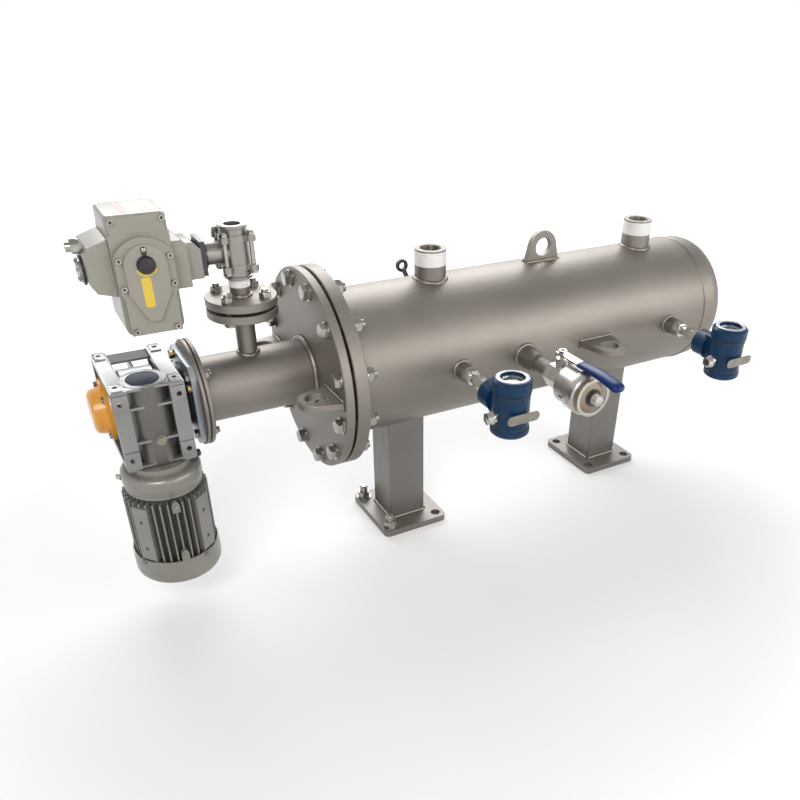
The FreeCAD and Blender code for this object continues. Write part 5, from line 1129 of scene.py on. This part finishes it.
# %% Reducer trim
PLUG_FACE = edge("reducer_plugs", Y, LOW)
NECK_FACE = -0.4092
trim("oil_plug_eye", [turned_mesh("eye", disc(0.0060, 0.0004), (-0.477, PLUG_FACE, 0.351),
                                  TO_FRONT, 32)], TAN_DISC, "reducer_plugs")
HEX_BOLT = [(0, 0), (0.0052, 0), (0.0058, 0.0005), (0.0058, 0.0040), (0.0050, 0.0048),
            (0, 0.0048)]
neck_spots = [(y, AXIS + z) for y, z in on_ring(0.142, 4, 60)]
trim("neck_bolts", [turned_mesh("bolt", HEX_BOLT, (NECK_FACE - 0.0013, y, z), TO_DRIVE, 6)
                    for y, z in neck_spots], GOLD_ZINC, "output_flange")
trim("neck_washers", [turned_mesh("washer", disc(0.0078, 0.0012), (NECK_FACE, y, z), TO_DRIVE, 32)
                      for y, z in neck_spots], ZINC, "output_flange")
PLUG = [(0, 0), (0.0062, 0), (0.0062, 0.0050), (0.0050, 0.0066), (0, 0.0066)]
trim("corner_plug", [turned_mesh("plug", PLUG, (-0.4252, -0.0945, 0.3095), TO_HEAD, 24)],
     BLACK_CAP, "reducer_plugs")
print("neck bolts at", [round(z, 3) for y, z in neck_spots])

# %% Motor trim
ACORN = [(0, 0), (0.0062, 0), (0.0062, 0.0025), (0.0052, 0.0032), (0.0050, 0.0060),
         (0.0036, 0.0080), (0, 0.0088)]
BELL_R = 0.0705
LEFT = (math.cos(math.radians(152)), math.sin(math.radians(152)), 0)
trim("bell_bolt", [turned_mesh("acorn", ACORN, (MOTOR_X + BELL_R * LEFT[X],
                                                MOTOR_Y + BELL_R * LEFT[Y], 0.262), LEFT, 24)],
     BRIGHT_STEEL, "motor_end_bell")
CLAMP = [(-0.0065, -0.010), (0.0065, -0.010), (0.0065, 0.004), (0.003, 0.010), (-0.003, 0.010),
         (-0.0065, 0.004)]
CLAMP_FOOT, CLAMP_THICK = 0.0655, 0.0085
clamps, clamp_screws = [], []
for z in (0.2405, 0.1415):
    clamps.append(plate_mesh("clamp", CLAMP, (MOTOR_X, MOTOR_Y - CLAMP_FOOT, z), *FACING_FRONT,
                             CLAMP_THICK))
    clamp_screws.append(turned_mesh("screw", HEAD,
                                    (MOTOR_X, MOTOR_Y - CLAMP_FOOT - CLAMP_THICK, z),
                                    TO_FRONT, 20))
trim("motor_clamps", clamps, MOTOR_PAINT, "motor_frame")
trim("clamp_screws", clamp_screws, ZINC, "motor_frame")
print("motor clamps:", len(clamps))

# %% [markdown]
# ## Transmitter faces
# Each transmitter looks up through a round window. A pale bezel holds the pane, and under it lie a
# black panel and a small grey display. Painted on the pane they would look flat, so they lie at
# their own depth. The tag is a long plate with round ends on a short post.

# %% Transmitter faces and tags
BEZEL_RING = [(0.0224, 0), (0.0290, 0), (0.0290, 0.0009), (0.0282, 0.0014), (0.0232, 0.0014),
              (0.0224, 0.0006)]
CAP_TOP = edge("transmitter_caps", Z, HIGH)
WINDOW_UNDERSIDE = edge("transmitter_windows", Z, LOW)
TAG_SHIFT, TAG_Z = 0.002, 0.365
bezels, panels, displays, tags = [], [], [], []
for x in TRANSMITTERS_X:
    bezels.append(ring_mesh("bezel", BEZEL_RING, (x, TRANSMITTERS_Y, CAP_TOP), TO_TOP))
    panels.append(turned_mesh("panel", disc(0.0215, 0.0005),
                              (x, TRANSMITTERS_Y, WINDOW_UNDERSIDE - 0.0007), TO_TOP))
    displays.append(plate_mesh("display", pill(0.024, 0.013, 0.001),
                               (x, TRANSMITTERS_Y + 0.002, WINDOW_UNDERSIDE - 0.0001),
                               *FACING_UP, FILM))
    tags.append(plate_mesh("tag", pill(0.066, 0.018, 0.0088), (x + TAG_SHIFT, -0.3364, TAG_Z),
                           *FACING_FRONT, 0.0016))
    tags.append(turned_mesh("post", disc(0.003, 0.0052), (x + TAG_SHIFT, -0.3316, TAG_Z),
                            TO_FRONT, 16))
trim("window_bezels", bezels, BEZEL, "transmitter_caps")
trim("window_panels", panels, PANEL_BLACK, "transmitter_caps")
trim("window_displays", displays, PLATE_PAINT, "transmitter_caps")
SEAL = disc(0.0337, 0.0018, 0.0325)
trim("cap_seals", [ring_mesh("seal", SEAL, (x, TRANSMITTERS_Y, z), TO_TOP)
                   for x in TRANSMITTERS_X for z in (0.3392, 0.3990)],
     PANEL_BLACK, "transmitter_caps")
trim("name_tags", tags, TAG_STEEL, "transmitter_fittings")
print("cap top", CAP_TOP, "window underside", WINDOW_UNDERSIDE)

# %% [markdown]
# ## The lever's grip
# The grip is a thick vinyl sleeve dipped over the flat lever: narrow where it starts, broad and
# drooping at its end. A block with round edges would look stiff, so oval sections are laid along a
# gentle curve and closed by a round nose.

# %% The grip
GRIP_START, GRIP_LENGTH, GRIP_Z = -0.2985, 0.1145, 0.4225
NOSE, THROAT, SMALLEST = 0.10, 0.04, 0.12


def oval(y, z, half_wide, half_high, steps=28):
    """A section across the lever, fuller at its sides than an ellipse."""
    outline = []
    for step in range(steps):
        angle = 2 * math.pi * step / steps
        u, v = math.cos(angle), math.sin(angle)
        outline.append((SIDE_VALVE_X + half_wide * math.copysign(abs(u) ** 0.6, u), y,
                        z + half_high * math.copysign(abs(v) ** 0.75, v)))
    return outline


ovals = []
for step in range(25):
    share = step / 24
    nose = math.sqrt(max(0.0, 1 - max(0.0, (share - 1 + NOSE) / NOSE) ** 2))
    throat = math.sqrt(max(0.0, 1 - max(0.0, (THROAT - share) / THROAT) ** 2))
    ends = max(SMALLEST, nose * throat)
    droop = 0.0010 * math.sin(math.pi * share) - 0.0052 * share ** 3
    ovals.append(oval(GRIP_START - GRIP_LENGTH * share, GRIP_Z + droop,
                      (0.0108 + 0.0024 * share) * ends, (0.0048 + 0.0030 * share) * ends))
grip = piece("vinyl_grip", stacked_mesh("vinyl_grip", ovals, 50), BLUE_VINYL,
             BODY_OF["lever_grip"])
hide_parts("lever_grip")
print("grip sections:", len(ovals))

# %% [markdown]
# ## The barrel's face and slots, and an open port
# A bright lip runs round the side valve's disc, a dark ring round its collar, and two narrow slots
# stand on its flank. The far transmitter's left port is open, and a dark disc paints the shade in
# its mouth. Slots and port could be cut, but so small a hole shows only as a dark mark of shade,
# which a thin dark plate paints.

# %% Barrel and port
DISC_FACE = -0.3449
LIP = [(0.0300, 0), (0.0362, 0), (0.0362, 0.0008), (0.0350, 0.0014), (0.0306, 0.0014),
       (0.0300, 0.0008)]
COLLAR_RING = [(0.0120, 0), (0.0165, 0), (0.0165, 0.0010), (0.0158, 0.0016), (0.0120, 0.0016)]
trim("collar_ring", [ring_mesh("ring", COLLAR_RING, (SIDE_VALVE_X, DISC_FACE - 0.0001, AXIS),
                               TO_FRONT)], DARK_STEEL, "sample_barrel")
# A dark disc paints the shade inside the open port.
trim("open_port", [turned_mesh("mouth", disc(0.0068, 0.0005), (0.5430, TRANSMITTERS_Y, 0.359),
                               TO_DRIVE, 32)], PANEL_BLACK, "transmitter_fittings")
trim("barrel_lip", [ring_mesh("lip", LIP, (SIDE_VALVE_X, DISC_FACE, AXIS), TO_FRONT, 96)],
     SATIN_STEEL, "sample_barrel")
BARREL_R, SLOTS_Y = 0.0398, -0.300
# Each slot is a thin dark plate that paints the shade inside it.
slots = []
for angle in (math.radians(12), math.radians(46)):
    spot = (SIDE_VALVE_X - BARREL_R * math.cos(angle), SLOTS_Y, AXIS - BARREL_R * math.sin(angle))
    across = (math.sin(angle), 0, -math.cos(angle))
    slots.append(plate_mesh("slot", pill(0.004, 0.012, 0.0018), spot, across, (0, 1, 0), 0.0005))
trim("barrel_slots", slots, PANEL_BLACK, "sample_barrel")
print("slots:", len(slots))

# %% Sizes of the dressed part
low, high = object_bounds()
print("the dressed part spans", [round(b - a, 4) for a, b in zip(low, high)])
